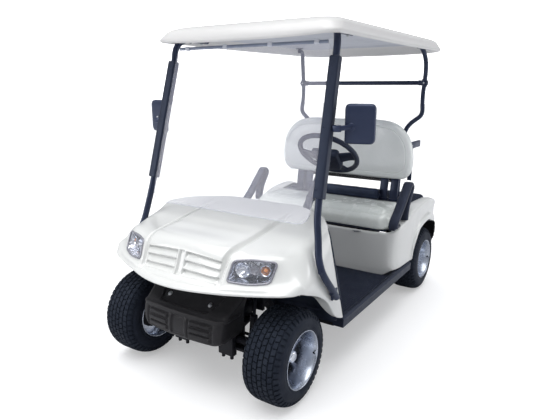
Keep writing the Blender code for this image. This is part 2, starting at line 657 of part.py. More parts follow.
# ---------------------------------------------------------------- rear axle
rear_axle = rod("rear_axle", (-0.4575, AXLE_Y, AZ), (0.4575, AXLE_Y, AZ), 0.030, 16)
axle_bits = [
    rod("gearbox", (-0.060, AXLE_Y, AZ), (0.060, AXLE_Y, AZ), 0.092, 20),
    rod("motor", (0.050, AXLE_Y, AZ), (0.235, AXLE_Y, AZ), 0.085, 20),
]
for s in (1, -1):
    axle_bits.append(rod("drum", (s * 0.372, AXLE_Y, AZ), (s * 0.430, AXLE_Y, AZ), 0.085, 20))
rear_axle = smooth(join(rear_axle, axle_bits), 30)
rear_suspension_left = suspension("rear_suspension_left", 0.290, AXLE_Y, AZ + 0.030, 0.215, 0.050,
                                  0.330, (0.330, 0.700, 0.5165))
rear_suspension_right = other_side(rear_suspension_left, "rear_suspension_right")

# ------------------------------------------------------------- steered parts
knuckle_left = rod("knuckle_left", (KINGPIN_X, -AXLE_Y, AZ - 0.056), (KINGPIN_X, -AXLE_Y, AZ + 0.056), 0.020, 16)
knuckle_left = join(knuckle_left, [
    rod("spindle", (KINGPIN_X, -AXLE_Y, AZ), (TRACK_F - 0.0135, -AXLE_Y, AZ), 0.016, 16),
    rod("collar", (KINGPIN_X + 0.02, -AXLE_Y, AZ), (KINGPIN_X + 0.045, -AXLE_Y, AZ), 0.026, 16),
    box("arm", (KINGPIN_X - 0.012, -AXLE_Y, AZ - 0.056), (KINGPIN_X + 0.012, -AXLE_Y + STEER_ARM, AZ - 0.044), 0, "black_metal"),
    rod("arm_end", (KINGPIN_X, -AXLE_Y + STEER_ARM, AZ - 0.056), (KINGPIN_X, -AXLE_Y + STEER_ARM, AZ - 0.044), 0.016, 16),
])
knuckle_right = other_side(knuckle_left, "knuckle_right")
ROD_Y, ROD_Z = -AXLE_Y + STEER_ARM, AZ - 0.044 + 0.001
tie_rod = rod("tie_rod", (-KINGPIN_X + 0.01, ROD_Y, ROD_Z + 0.010), (KINGPIN_X - 0.01, ROD_Y, ROD_Z + 0.010), 0.008, 12)
tie_rod = smooth(join(tie_rod, [
    rod("eye_l", (KINGPIN_X, ROD_Y, ROD_Z), (KINGPIN_X, ROD_Y, ROD_Z + 0.020), 0.014, 12),
    rod("eye_r", (-KINGPIN_X, ROD_Y, ROD_Z), (-KINGPIN_X, ROD_Y, ROD_Z + 0.020), 0.014, 12),
]), 30)

# ---------------------------------------------------------- steering column
column_foot = STEER_C - STEER_AXIS * 0.420
column_top = STEER_C - STEER_AXIS * 0.062
steering_column = rod("steering_column", column_foot, column_top, 0.022, 16, "black_plastic")
steering_column = join(steering_column, [
    rod("boot", column_foot, column_foot + STEER_AXIS * 0.05, 0.036, 16, "black_plastic", 0.026),
    rod("collar", column_top - STEER_AXIS * 0.07, column_top, 0.034, 16, "black_plastic"),
])
ring = bpy.data.curves.new("steering_wheel", "CURVE")
turn = STEER_AXIS.to_track_quat("Z", "Y").to_matrix()
ring_points = [STEER_C + turn @ Vector((STEER_R * math.cos(a), STEER_R * math.sin(a), 0))
               for a in np.linspace(0, 2 * math.pi, 25)[:-1]]
steering_wheel = tube("steering_wheel", ring_points, 0.0145, "black_plastic", steps=1, closed=True)
wheel_bits = [rod("hub", STEER_C - STEER_AXIS * 0.056, STEER_C - STEER_AXIS * 0.012, 0.046, 20, "black_plastic")]
for ang in (0, 180, 270):
    a = math.radians(ang)
    d = turn @ Vector((math.cos(a), math.sin(a), 0))
    side = STEER_AXIS.cross(d)
    wheel_bits.append(beam(f"spoke{ang}", STEER_C - STEER_AXIS * 0.030 + d * 0.02, STEER_C - STEER_AXIS * 0.002 + d * 0.178,
                           0.040 if ang != 270 else 0.030, 0.012, "black_plastic", side=side))
steering_wheel = smooth(join(steering_wheel, wheel_bits), 40)

# ------------------------------------------------------------------- pedals
pedal_assembly = rod("pedal_assembly", (0.140, -0.470, 0.305), (0.385, -0.470, 0.305), 0.009, 12)
pedal_assembly = join(pedal_assembly, [
    box("foot_a", (0.150, -0.490, FLOOR_TOP + GAP), (0.170, -0.450, 0.310), 0, "black_metal"),
    box("foot_b", (0.355, -0.490, FLOOR_TOP + GAP), (0.375, -0.450, 0.310), 0, "black_metal"),
    beam("arm_a", (0.215, -0.470, 0.300), (0.215, -0.430, 0.395), 0.016, 0.010),
    beam("arm_b", (0.320, -0.470, 0.300), (0.320, -0.430, 0.385), 0.016, 0.010),
    beam("brake", (0.215, -0.440, 0.355), (0.215, -0.395, 0.425), 0.110, 0.012),
    beam("accel", (0.320, -0.446, 0.335), (0.320, -0.395, 0.425), 0.060, 0.012),
])

# -------------------------------------------------------------- seat (moves)
seat_base = box("seat_base", (-0.484, 0.270, 0.5500), (0.484, 0.598, 0.5595), 0.003, "black_plastic", 1)


def cushion(name, half_x, y0, y1, z0, z1, radius, edge, finish):
    rings = []
    for z, d in ((z0, edge), (z0 + edge, 0.0), (z1 - edge * 1.4, 0.0), (z1 - edge * 0.4, edge * 0.6), (z1, edge * 1.8)):
        rings.append([(x, y, z) for x, y in rounded(half_x - d, y0 + d, y1 - d, max(radius - d, 0.01), 3)])
    return stack(name, rings, finish)


seat_cushion = cushion("seat_cushion", 0.500, 0.250, 0.602, 0.5600, 0.680, 0.060, 0.018, "vinyl")

# ------------------------------------------------------------------ backrest
BACK = [  # half width, z: outline of the backrest
    (0.400, 0.818), (0.4515, 0.826), (0.485, 0.855), (0.500, 0.900), (0.5016, 0.970), (0.490, 1.040),
    (0.465, 1.100), (0.424, 1.150), (0.385, 1.178), (0.320, 1.200), (0.120, 1.207),
]
back_outline = [(x, z) for x, z in BACK] + [(-x, z) for x, z in reversed(BACK)]
backrest = prism("backrest", back_outline, "Y", 0.622, 0.690, "vinyl", 0.014)
bm = bmesh.new()
bm.from_mesh(backrest.data)
bmesh.ops.rotate(bm, verts=bm.verts, cent=(0, 0.622, 0.822), matrix=Matrix.Rotation(math.radians(-2.0), 3, "X"))
bm.to_mesh(backrest.data)
bm.free()
smooth(backrest, 40)

UPRIGHT = [(0.7118, 1.100), (0.7070, 0.960), (0.7026, 0.840), (0.7016, 0.798), (0.690, 0.740), (0.684, 0.671)]   # y, z of the uprights
UPRIGHT_X, UPRIGHT_W = (0.300, 0.375), 0.045
frame_bits = []
for s in (1, -1):
    for x in UPRIGHT_X:
        a, b = s * x - UPRIGHT_W / 2, s * x + UPRIGHT_W / 2
        frame_bits.append(strap("upright", UPRIGHT, 0.020, a, b))
        frame_bits.append(box("foot", (a - 0.004, 0.668, 0.658 + GAP), (b + 0.004, 0.712, 0.672), 0, "black_metal"))
    a, b = sorted((s * 0.452, s * 0.470))
    frame_bits.append(box("rack_arm", (a, 0.7110, 1.018), (b, 0.905, 1.062), 0, "black_metal"))
    a, b = sorted((s * 0.4535, s * 0.482))
    frame_bits.append(strap("rack_side", [(0.718, 1.030), (0.722, 0.950), (0.720, 0.880), (0.716, 0.805)], 0.010, a, b))
frame_bits.append(box("rack_bar", (-0.460, 0.7125, 1.024), (0.460, 0.7245, 1.056), 0, "black_metal"))
frame_bits.append(rod("bar_low", (-0.375, 0.690, 0.745), (0.375, 0.690, 0.745), 0.0115, 12))
backrest_frame = frame_bits.pop(0)
backrest_frame.name = "backrest_frame"
backrest_frame = join(backrest_frame, frame_bits)
hip_pad = box("hip_pad", (-0.280, 0.622, 0.664), (0.280, 0.664, 0.735), 0.012, "black_plastic")

# --------------------------------------------------------------- sweater basket
sweater_basket = box("sweater_basket", (-0.345, 0.748, 0.770), (0.345, 0.925, 0.905), 0, "black_plastic")
basket_room = cutter(box("basket_room", (-0.339, 0.754, 0.776), (0.339, 0.919, 0.980)))
sweater_basket = join(sweater_basket, [basket_room], "DIFFERENCE")

# ------------------------------------------------------------------ armrests
ARM = [(0.207, 0.598), (0.216, 0.622), (0.262, 0.664), (0.322, 0.716), (0.380, 0.772), (0.422, 0.812), (0.448, 0.829),
       (0.469, 0.815), (0.455, 0.776), (0.422, 0.732), (0.401, 0.690), (0.390, 0.650), (0.388, 0.6130)]   # y, z
ARM_X0, ARM_X1 = 0.531, 0.581
armrest_left = strap("armrest_left", ARM, 0.030, ARM_X0, ARM_X1, "black_plastic", 0.008)
armrest_left = join(armrest_left, [box("foot", (ARM_X0 + 0.002, 0.196, 0.584), (ARM_X1 - 0.010, 0.306, 0.604), 0.004, "black_plastic", 1)])
smooth(armrest_left, 40)
armrest_right = other_side(armrest_left, "armrest_right")

# --------------------------------------------------------------- front posts
post_pts = [(0.462, -0.250, 1.683), (0.464, -0.360, 1.683), (0.478, -0.436, 1.672), (0.496, -0.470, 1.636)]
post_pts += [tuple(post_at(z)) for z in (1.585, 1.250, 0.937)]
post_pts += [(0.534, -0.695, 0.830), (0.548, -0.711, 0.755), (0.562, -0.729, 0.688), (0.585, -0.740, 0.628),
             (0.599, -0.706, 0.564), (0.602, -0.640, 0.487), (0.602, -0.622, 0.466)]
front_post_left = tube("front_post_left", post_pts, POST_R, steps=2)
sleeve_top, sleeve_low = post_at(1.559), post_at(0.937)
front_post_left = join(front_post_left, [beam("sleeve", sleeve_low, sleeve_top, SLEEVE_W, SLEEVE_D, bevel=0.006)])
flat_side = cutter(box("flat_side", (0.630, -0.9, 0.40), (0.70, -0.5, 0.72)))
flat_in = cutter(box("flat_in", (0.54, -0.9, 0.40), (0.5885, -0.5, 0.560)))
front_post_left = join(front_post_left, [flat_side, flat_in], "DIFFERENCE")
front_post_right = other_side(front_post_left, "front_post_right")

# ---------------------------------------------------------------- windshield
GLASS_LOW, GLASS_TOP = 0.815, 1.628
glass_offset = 0.010
rise = 1 / math.cos(POST_RAKE)
origin = post_at(GLASS_LOW, glass_offset)
length = (GLASS_TOP - GLASS_LOW) * rise


def glass_half(z):
    """Half the glass's width at height z: up to the sleeves, with a gap."""
    return post_at(z).x - SLEEVE_W / 2 - 0.0012


outline = [(0.430, 0.0), (0.462, 0.006), (0.484, 0.024), (0.495, 0.050), (glass_half(0.930), (0.930 - GLASS_LOW) * rise),
           (glass_half(1.559), (1.559 - GLASS_LOW) * rise), (0.468, length - 0.02), (0.455, length)]
outline = outline + [(-x, z) for x, z in reversed(outline)]
windshield = prism("windshield", outline, "Y", -0.0025, 0.0025, "glass")
windshield.data.transform(Matrix.Translation((0, origin.y, origin.z)) @ Matrix.Rotation(-POST_RAKE, 4, "X"))

# ------------------------------------------------------------------ mirrors
MIRROR_IN, MIRROR_Y, MIRROR_W, MIRROR_TOE = 0.565, -0.512, 0.140, 15.0
mirror_left = box("mirror_left", (0, -0.016, 1.172), (MIRROR_W, 0.016, 1.353), 0.013, "black_plastic")
mirror_left.data.transform(Matrix.Translation((MIRROR_IN, MIRROR_Y, 0)) @ Matrix.Rotation(math.radians(MIRROR_TOE), 4, "Z"))
grip = post_at(1.245)
mirror_left = join(mirror_left, [
    beam("bracket", (grip.x + SLEEVE_W / 2 + 0.0014, grip.y + 0.004, 1.245), (grip.x + 0.064, grip.y + 0.004, 1.245), 0.030, 0.026, "black_plastic", side=(0, 0, 1)),
    beam("arm", (grip.x + 0.052, grip.y + 0.000, 1.245), (0.600, MIRROR_Y - 0.002, 1.250), 0.022, 0.022, "black_plastic", side=(0, 0, 1)),
])
mirror_right = other_side(mirror_left, "mirror_right")

# --------------------------------------------------------------------- roof
ROOF = [  # half width, front y, rear y, corner radius, z at mid side, extra height at the corners
    (0.496, -0.515, 0.965, 0.080, 1.702, 0.000),
    (0.507, -0.530, 0.978, 0.080, 1.692, 0.000),
    (0.520, -0.556, 1.002, 0.075, 1.655, 0.010),
    (0.536, -0.574, 1.020, 0.070, 1.643, 0.013),
    (0.545, -0.585, 1.030, 0.070, 1.650, 0.014),
    (0.539, -0.577, 1.023, 0.078, 1.678, 0.009),
    (0.523, -0.548, 1.008, 0.085, 1.711, 0.004),
    (0.495, -0.502, 0.986, 0.085, 1.731, 0.000),
    (0.440, -0.430, 0.930, 0.080, 1.742, 0.000),
    (0.250, -0.200, 0.700, 0.060, ROOF_TOP_Z, 0.000),
]


def roof_ring(half, y0, y1, radius, z, lift):
    pts = []
    mid, span = (y0 + y1) / 2, (y1 - y0) / 2
    for x, y in rounded(half, y0, y1, radius, 4):
        corner = (abs(x) / half) ** 3 * (abs(y - mid) / span) ** 3
        pts.append((x, y, z + lift * corner))
    full = []
    for k, p in enumerate(pts):   # extra points along the straight sides
        full.append(p)
        if k % 5 == 4:
            q = pts[(k + 1) % len(pts)]
            for t in (0.25, 0.5, 0.75):
                m = [p[i] + (q[i] - p[i]) * t for i in range(3)]
                m[2] = z + lift * ((abs(2 * t - 1)) ** 3) * 0.6
                full.append(tuple(m))
    return full


roof = stack("roof", [roof_ring(*row) for row in ROOF], "body")

# --------------------------------------------------------------- rear struts
strut_pts = [(0.452, 0.780, 1.684), (0.460, 0.832, 1.675), (0.472, 0.862, 1.636), (0.476, 0.886, 1.451), (0.4755, 0.876, 1.300),
             (0.473, 0.869, 1.238), (0.440, 0.860, 1.205), (0.395, 0.850, 1.162), (0.377, 0.838, 1.120), (0.375, 0.818, 1.040),
             (0.375, 0.785, 0.900), (0.375, 0.764, 0.780), (0.375, 0.760, 0.670)]
rear_strut_left = tube("rear_strut_left", strut_pts, 0.0150, steps=2)
rear_strut_left = join(rear_strut_left, [
    box("foot", (0.350, 0.732, 0.658 + GAP), (0.400, 0.788, 0.672), 0, "black_metal"),
    rod("sleeve", (0.4763, 0.888, 1.405), (0.4763, 0.884, 1.495), 0.020, 16),
])
rear_strut_right = other_side(rear_strut_left, "rear_strut_right")
rear_crossbar = rod("rear_crossbar", (-0.4558, 0.886, 1.451), (0.4558, 0.886, 1.451), 0.0150, 16)

# --------------------------------------------------------------- rear bumper
REAR_BUMPER = [  # half width, rear y, front y, corner radius, z
    (0.555, BOUND_Y - 0.030, 1.074, 0.050, 0.452),
    (0.562, BOUND_Y - 0.006, 1.074, 0.045, 0.440),
    (0.565, BOUND_Y, 1.074, 0.045, 0.390),
    (0.560, BOUND_Y - 0.010, 1.074, 0.040, 0.330),
    (0.545, BOUND_Y - 0.040, 1.074, 0.020, 0.300),
]
rear_bumper = grid("rear_bumper", [u_shape(hw, f, b, r, z, sign=1) for hw, f, b, r, z in REAR_BUMPER],
                   "black_plastic", 0.008, flip=False)

# --------------------------------------------------------------- tail lights
tail_light_left = box("tail_light_left", (0.360, 1.1008, 0.500), (0.460, 1.1160, 0.548), 0.005, "red_lamp")
tail_light_right = other_side(tail_light_left, "tail_light_right")

# ------------------------------------------- joints: pieces hang on their axes
for side, s in (("left", 1), ("right", -1)):
    kingpin = (s * KINGPIN_X, -AXLE_Y, AZ)
    names = [f"knuckle_{side}", f"tyre_front_{side}", f"wheel_front_{side}"]
    on_empty(f"kingpin_{side}", kingpin, [bpy.data.objects[n] for n in names])
on_empty("tie_rod_pin", (KINGPIN_X, ROD_Y, ROD_Z), [tie_rod])
on_empty("seat_hinge", (0, SEAT_HINGE_Y, SEAT_HINGE_Z), [seat_base, seat_cushion])
set_origin(steering_wheel, STEER_C)
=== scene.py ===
"""Two-seat golf cart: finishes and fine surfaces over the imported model.

Metres, +Z up, ground at z = 0, front towards -Y, +X is the driver's side.
"""
import math

import bmesh
import bpy
import numpy as np
from mathutils import Matrix, Vector
from mathutils.bvhtree import BVHTree


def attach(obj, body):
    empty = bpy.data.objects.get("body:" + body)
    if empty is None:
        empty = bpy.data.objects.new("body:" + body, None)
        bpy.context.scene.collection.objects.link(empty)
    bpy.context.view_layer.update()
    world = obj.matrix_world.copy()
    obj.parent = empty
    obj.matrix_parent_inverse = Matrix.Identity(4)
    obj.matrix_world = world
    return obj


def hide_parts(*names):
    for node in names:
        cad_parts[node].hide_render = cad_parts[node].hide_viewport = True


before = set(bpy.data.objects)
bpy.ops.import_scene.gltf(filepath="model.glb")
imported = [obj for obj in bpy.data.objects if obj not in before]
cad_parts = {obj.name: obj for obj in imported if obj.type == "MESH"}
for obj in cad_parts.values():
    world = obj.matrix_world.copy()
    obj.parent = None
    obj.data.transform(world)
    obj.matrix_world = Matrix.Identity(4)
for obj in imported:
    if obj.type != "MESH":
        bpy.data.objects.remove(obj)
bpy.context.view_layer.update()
scene = bpy.context.scene

# -------------------------------------------------------------------- camera
eye = bpy.data.cameras.new("camera")
eye.lens, eye.sensor_width = 32.47, 36.0
eye.clip_start, eye.clip_end = 0.05, 100.0
camera = bpy.data.objects.new("camera", eye)
camera.location = (1.583, -2.615, 1.427)
camera.rotation_euler = (math.radians(90 - 13.74), 0, math.radians(33.05))
scene.collection.objects.link(camera)
scene.camera = camera

# --------------------------------------------- dimensions shared with the CAD
AXLE_Y, TRACK_F, TRACK_R = 0.835, 0.450, 0.471
TYRE_R = 0.226
KINGPIN_X = 0.330
FLOOR_TOP, SILL_TOP = 0.272, 0.300
POST_TOP = np.array((0.501, -0.491, 1.559))
POST_LOW = np.array((0.524, -0.666, 0.937))
RAKE = math.atan2(POST_TOP[1] - POST_LOW[1], POST_TOP[2] - POST_LOW[2])
STEER_C = np.array((0.250, -0.064, 1.056))
STEER_AXIS = np.array((0, 0.66, 0.75)) / math.hypot(0.66, 0.75)
STEER_R = 0.184


# ================================================================= materials
def new_shader(name):
    mat = bpy.data.materials.new(name)
    mat.use_nodes = True
    tree = mat.node_tree
    return mat, tree, tree.nodes["Principled BSDF"]


def put(tree, kind, **values):
    """A node, its settings and its unlinked inputs."""
    n = tree.nodes.new(kind)
    for key, value in values.items():
        if hasattr(n, key):
            setattr(n, key, value)
        else:
            n.inputs[key.replace("_", " ")].default_value = value
    return n


def coordinates(tree, stretch=(1, 1, 1)):
    place = put(tree, "ShaderNodeTexCoord")
    if stretch == (1, 1, 1):
        return place.outputs["Object"]
    turn = put(tree, "ShaderNodeMapping")
    turn.inputs["Scale"].default_value = stretch
    tree.links.new(place.outputs["Object"], turn.inputs["Vector"])
    return turn.outputs["Vector"]


def finish(name, low, high, rough, metal=0.0, patch=5.0, detail=4.0, rough_spread=0.06, rough_scale=18.0,
           bumps=(), coat=0.0, coat_rough=0.03, stretch=(1, 1, 1), alpha=1.0, dust=None, specular=0.5,
           aniso=0.0, sheen=0.0, tint=None):
    """A surface whose colour wanders between low and high, with uneven gloss and fine relief.

    bumps: (kind, scale, strength, distance) from coarse to fine; kind is noise, cells or bands.
    dust: (colour, height at which it ends, share)."""
    mat, tree, bsdf = new_shader(name)
    link = tree.links.new
    where = coordinates(tree, stretch)
    blotch = put(tree, "ShaderNodeTexNoise", Scale=patch, Detail=detail, Roughness=0.6)
    link(where, blotch.inputs["Vector"])
    ramp = put(tree, "ShaderNodeValToRGB")
    ramp.color_ramp.elements[0].position, ramp.color_ramp.elements[1].position = 0.32, 0.68
    ramp.color_ramp.elements[0].color = (*low, 1)
    ramp.color_ramp.elements[1].color = (*high, 1)
    link(blotch.outputs["Fac"], ramp.inputs["Fac"])
    colour = ramp.outputs["Color"]
    if dust:
        tint, height, share = dust
        level = put(tree, "ShaderNodeSeparateXYZ")
        link(coordinates(tree), level.inputs[0])
        fade = put(tree, "ShaderNodeMapRange")
        fade.inputs["From Min"].default_value, fade.inputs["From Max"].default_value = 0.0, height
        fade.inputs["To Min"].default_value, fade.inputs["To Max"].default_value = share, 0.0
        link(level.outputs["Z"], fade.inputs["Value"])
        grit = put(tree, "ShaderNodeTexNoise", Scale=14.0, Detail=8.0, Roughness=0.7)
        link(coordinates(tree), grit.inputs["Vector"])
        much = put(tree, "ShaderNodeMath", operation="MULTIPLY")
        link(fade.outputs["Result"], much.inputs[0])
        link(grit.outputs["Fac"], much.inputs[1])
        mixed = put(tree, "ShaderNodeMix", data_type="RGBA")
        link(much.outputs[0], mixed.inputs["Factor"])
        link(colour, mixed.inputs[6])
        mixed.inputs[7].default_value = (*tint, 1)
        colour = mixed.outputs[2]
    link(colour, bsdf.inputs["Base Color"])
    smear = put(tree, "ShaderNodeTexNoise", Scale=rough_scale, Detail=3.0, Roughness=0.55)
    link(where, smear.inputs["Vector"])
    spread = put(tree, "ShaderNodeMapRange")
    spread.inputs["From Min"].default_value, spread.inputs["From Max"].default_value = 0.25, 0.75
    spread.inputs["To Min"].default_value = max(0.02, rough - rough_spread)
    spread.inputs["To Max"].default_value = min(1.0, rough + rough_spread)
    link(smear.outputs["Fac"], spread.inputs["Value"])
    link(spread.outputs["Result"], bsdf.inputs["Roughness"])
    normal = None
    for kind, scale, strength, distance in bumps:
        if kind == "noise":
            relief = put(tree, "ShaderNodeTexNoise", Scale=scale, Detail=3.0, Roughness=0.6)
            out = relief.outputs["Fac"]
        elif kind == "cells":
            relief = put(tree, "ShaderNodeTexVoronoi", Scale=scale)
            out = relief.outputs["Distance"]
        else:
            relief = put(tree, "ShaderNodeTexWave", Scale=scale, Distortion=0.4)
            relief.bands_direction = kind[-1].upper()
            out = relief.outputs["Fac"]
        link(where, relief.inputs["Vector"])
        bump = put(tree, "ShaderNodeBump", Strength=strength, Distance=distance)
        link(out, bump.inputs["Height"])
        if normal is not None:
            link(normal, bump.inputs["Normal"])
        normal = bump.outputs["Normal"]
    if normal is not None:
        link(normal, bsdf.inputs["Normal"])
    bsdf.inputs["Metallic"].default_value = metal
    bsdf.inputs["Coat Weight"].default_value = coat
    bsdf.inputs["Coat Roughness"].default_value = coat_rough
    bsdf.inputs["Alpha"].default_value = alpha
    bsdf.inputs["Specular IOR Level"].default_value = specular
    bsdf.inputs["Anisotropic"].default_value = aniso
    bsdf.inputs["Sheen Weight"].default_value = sheen
    if tint:
        bsdf.inputs["Specular Tint"].default_value = (*tint, 1)
        bsdf.inputs["Coat Tint"].default_value = (*tint, 1)
    return mat


NAVY = (0.58, 0.70, 1.0)
BODY = finish("white_moulding", (0.735, 0.742, 0.722), (0.762, 0.768, 0.750), 0.24, patch=2.2, rough_spread=0.03,
              bumps=[("noise", 5.0, 0.03, 0.003), ("noise", 240.0, 0.03, 0.0003)], coat=0.9, coat_rough=0.06)
ROOF_SKIN = finish("white_roof", (0.700, 0.690, 0.680), (0.728, 0.718, 0.706), 0.36, patch=2.0, rough_spread=0.04,
                   bumps=[("noise", 5.0, 0.05, 0.004), ("noise", 210.0, 0.05, 0.0004)], coat=0.35, coat_rough=0.14)
UNDER = finish("roof_liner", (0.52, 0.54, 0.60), (0.58, 0.60, 0.66), 0.55, patch=4.0,
               bumps=[("cells", 260.0, 0.20, 0.0008)])
POWDER = finish("black_powder_coat", (0.0110, 0.0145, 0.0310), (0.0170, 0.0215, 0.0420), 0.34, metal=0.0, patch=9.0,
                bumps=[("noise", 420.0, 0.22, 0.0006)], coat=0.22, coat_rough=0.22, tint=NAVY)
CHASSIS = finish("black_chassis_paint", (0.0100, 0.0115, 0.0190), (0.0190, 0.0205, 0.0290), 0.48, patch=7.0,
                 rough_spread=0.12, bumps=[("noise", 160.0, 0.25, 0.0008)], dust=((0.13, 0.12, 0.10), 0.50, 0.25), tint=NAVY)
PLASTIC = finish("black_moulded_plastic", (0.0120, 0.0150, 0.0270), (0.0180, 0.0220, 0.0360), 0.44, patch=8.0,
                 bumps=[("cells", 620.0, 0.28, 0.0006), ("noise", 30.0, 0.05, 0.002)], tint=NAVY)
MIRROR_CASE = finish("mirror_moulding", (0.0200, 0.0260, 0.0520), (0.0260, 0.0330, 0.0620), 0.36, patch=6.0,
                     rough_spread=0.04, bumps=[("noise", 500.0, 0.10, 0.0003)], coat=0.25, coat_rough=0.2, tint=NAVY)
SOFT_GRIP = finish("black_soft_grip", (0.0105, 0.0125, 0.0230), (0.0170, 0.0195, 0.0330), 0.50, patch=14.0,
                   bumps=[("cells", 480.0, 0.30, 0.0007)], sheen=0.05, tint=NAVY)
CHARCOAL = finish("charcoal_bumper_plastic", (0.024, 0.0235, 0.026), (0.034, 0.0335, 0.037), 0.36, patch=6.0,
                  bumps=[("cells", 520.0, 0.22, 0.0005), ("noise", 24.0, 0.04, 0.002)],
                  dust=((0.12, 0.11, 0.10), 0.42, 0.08), coat=0.15, coat_rough=0.2)
VINYL = finish("cream_vinyl", (0.775, 0.815, 0.775), (0.830, 0.862, 0.825), 0.26, patch=5.0, rough_spread=0.04,
               bumps=[("noise", 26.0, 0.09, 0.004), ("cells", 330.0, 0.18, 0.0008)], coat=0.8, coat_rough=0.13)
VINYL_BACK = finish("white_vinyl", (0.800, 0.828, 0.812), (0.850, 0.872, 0.858), 0.24, patch=5.0, rough_spread=0.04,
                    bumps=[("noise", 26.0, 0.08, 0.004), ("cells", 330.0, 0.14, 0.0008)], coat=0.85, coat_rough=0.09)
PIPING = finish("cream_piping", (0.66, 0.69, 0.64), (0.72, 0.75, 0.70), 0.40, patch=30.0,
                bumps=[("noise", 500.0, 0.3, 0.0006)])
PAD = finish("black_vinyl", (0.0120, 0.0175, 0.0360), (0.0180, 0.0250, 0.0480), 0.40, patch=9.0,
             bumps=[("cells", 300.0, 0.30, 0.0008)], coat=0.2, coat_rough=0.25, tint=NAVY)
RUBBER = finish("tyre_rubber", (0.0085, 0.0105, 0.0165), (0.0150, 0.0175, 0.0245), 0.62, patch=12.0,
                rough_spread=0.10, bumps=[("noise", 90.0, 0.12, 0.0012), ("noise", 700.0, 0.25, 0.0004)],
                specular=0.32, tint=NAVY)
TREAD = finish("tread_rubber", (0.0095, 0.0120, 0.0180), (0.0190, 0.0225, 0.0300), 0.74, patch=20.0,
               rough_spread=0.10, bumps=[("noise", 240.0, 0.45, 0.0010)], specular=0.28, tint=NAVY)
MAT_RUBBER = finish("ribbed_mat_rubber", (0.0120, 0.0150, 0.0280), (0.0200, 0.0240, 0.0400), 0.66, patch=7.0,
                    bumps=[("noise", 380.0, 0.35, 0.0006)], specular=0.35, tint=NAVY)
ALLOY = finish("polished_alloy", (0.50, 0.54, 0.62), (0.58, 0.62, 0.70), 0.27, metal=1.0, patch=6.0,
               rough_spread=0.03, rough_scale=20.0, bumps=[("noise", 300.0, 0.02, 0.0002)], aniso=0.3)
CAST = finish("cast_alloy", (0.17, 0.19, 0.25), (0.25, 0.27, 0.34), 0.30, metal=1.0, patch=12.0,
              rough_spread=0.10, bumps=[("noise", 320.0, 0.25, 0.0006)])
CHROME = finish("chrome", (0.80, 0.83, 0.90), (0.88, 0.90, 0.96), 0.07, metal=1.0, patch=12.0, rough_spread=0.03,
                bumps=[("noise", 40.0, 0.02, 0.001)])
STEEL = finish("zinc_steel", (0.42, 0.43, 0.45), (0.60, 0.61, 0.63), 0.32, metal=1.0, patch=40.0, rough_spread=0.10,
               bumps=[("noise", 500.0, 0.2, 0.0004)])
IRON = finish("brake_iron", (0.020, 0.021, 0.026), (0.050, 0.050, 0.055), 0.55, metal=0.6, patch=24.0,
              rough_spread=0.12, bumps=[("noise", 260.0, 0.3, 0.0008)])
BEZEL = finish("lamp_bezel", (0.26, 0.26, 0.30), (0.33, 0.33, 0.37), 0.28, metal=0.4, patch=20.0,
               bumps=[("noise", 200.0, 0.05, 0.0004)], coat=0.5)
# the reflector's colour swings from dark grey to near white in large blotches: painted reflections on the chrome
BUCKET = finish("lamp_bucket", (0.34, 0.35, 0.40), (0.86, 0.88, 0.95), 0.14, metal=1.0, patch=42.0, detail=2.0,
                bumps=[("cells", 70.0, 0.5, 0.004)], coat=0.3)
HEADER = finish("header_alloy", (0.17, 0.20, 0.27), (0.24, 0.27, 0.35), 0.35, metal=0.4, patch=20.0,
                bumps=[("noise", 300.0, 0.08, 0.0004)])
CASE = finish("battery_case", (0.030, 0.031, 0.036), (0.050, 0.051, 0.056), 0.55, patch=10.0,
              bumps=[("cells", 300.0, 0.2, 0.0008)])
CAP = finish("battery_cap", (0.016, 0.017, 0.021), (0.026, 0.027, 0.031), 0.35, patch=20.0,
             bumps=[("noise", 300.0, 0.1, 0.0004)])
WIRE = finish("black_coated_wire", (0.0130, 0.0135, 0.0180), (0.0220, 0.0225, 0.0270), 0.42, patch=30.0,
              bumps=[("noise", 400.0, 0.2, 0.0005)])
SILVERED = finish("mirror_glass", (0.80, 0.82, 0.85), (0.86, 0.88, 0.90), 0.04, metal=1.0, patch=4.0,
                  rough_spread=0.02, bumps=[("noise", 20.0, 0.01, 0.001)])


def clear(name, low, high, alpha, rough=0.05, coat=1.0, scale=3.0, ripple=0.02):
    mat = finish(name, low, high, rough, patch=scale, rough_spread=0.02, alpha=alpha, coat=coat, coat_rough=0.02,
                 bumps=[("noise", 5.0, ripple, 0.002)])
    return mat


GLASS = clear("clear_acrylic", (0.80, 0.80, 0.93), (0.86, 0.86, 0.96), 0.14)
GLASS_EDGE = clear("acrylic_edge", (0.60, 0.64, 0.70), (0.68, 0.72, 0.78), 0.35)
LENS = clear("lamp_lens", (0.80, 0.83, 0.90), (0.88, 0.90, 0.95), 0.06, rough=0.05)
AMBER = clear("amber_lens", (0.80, 0.22, 0.02), (0.95, 0.34, 0.05), 0.85, rough=0.10, scale=40.0)
RED_LENS = clear("red_lens", (0.42, 0.008, 0.008), (0.58, 0.016, 0.014), 0.94, rough=0.10, scale=40.0)


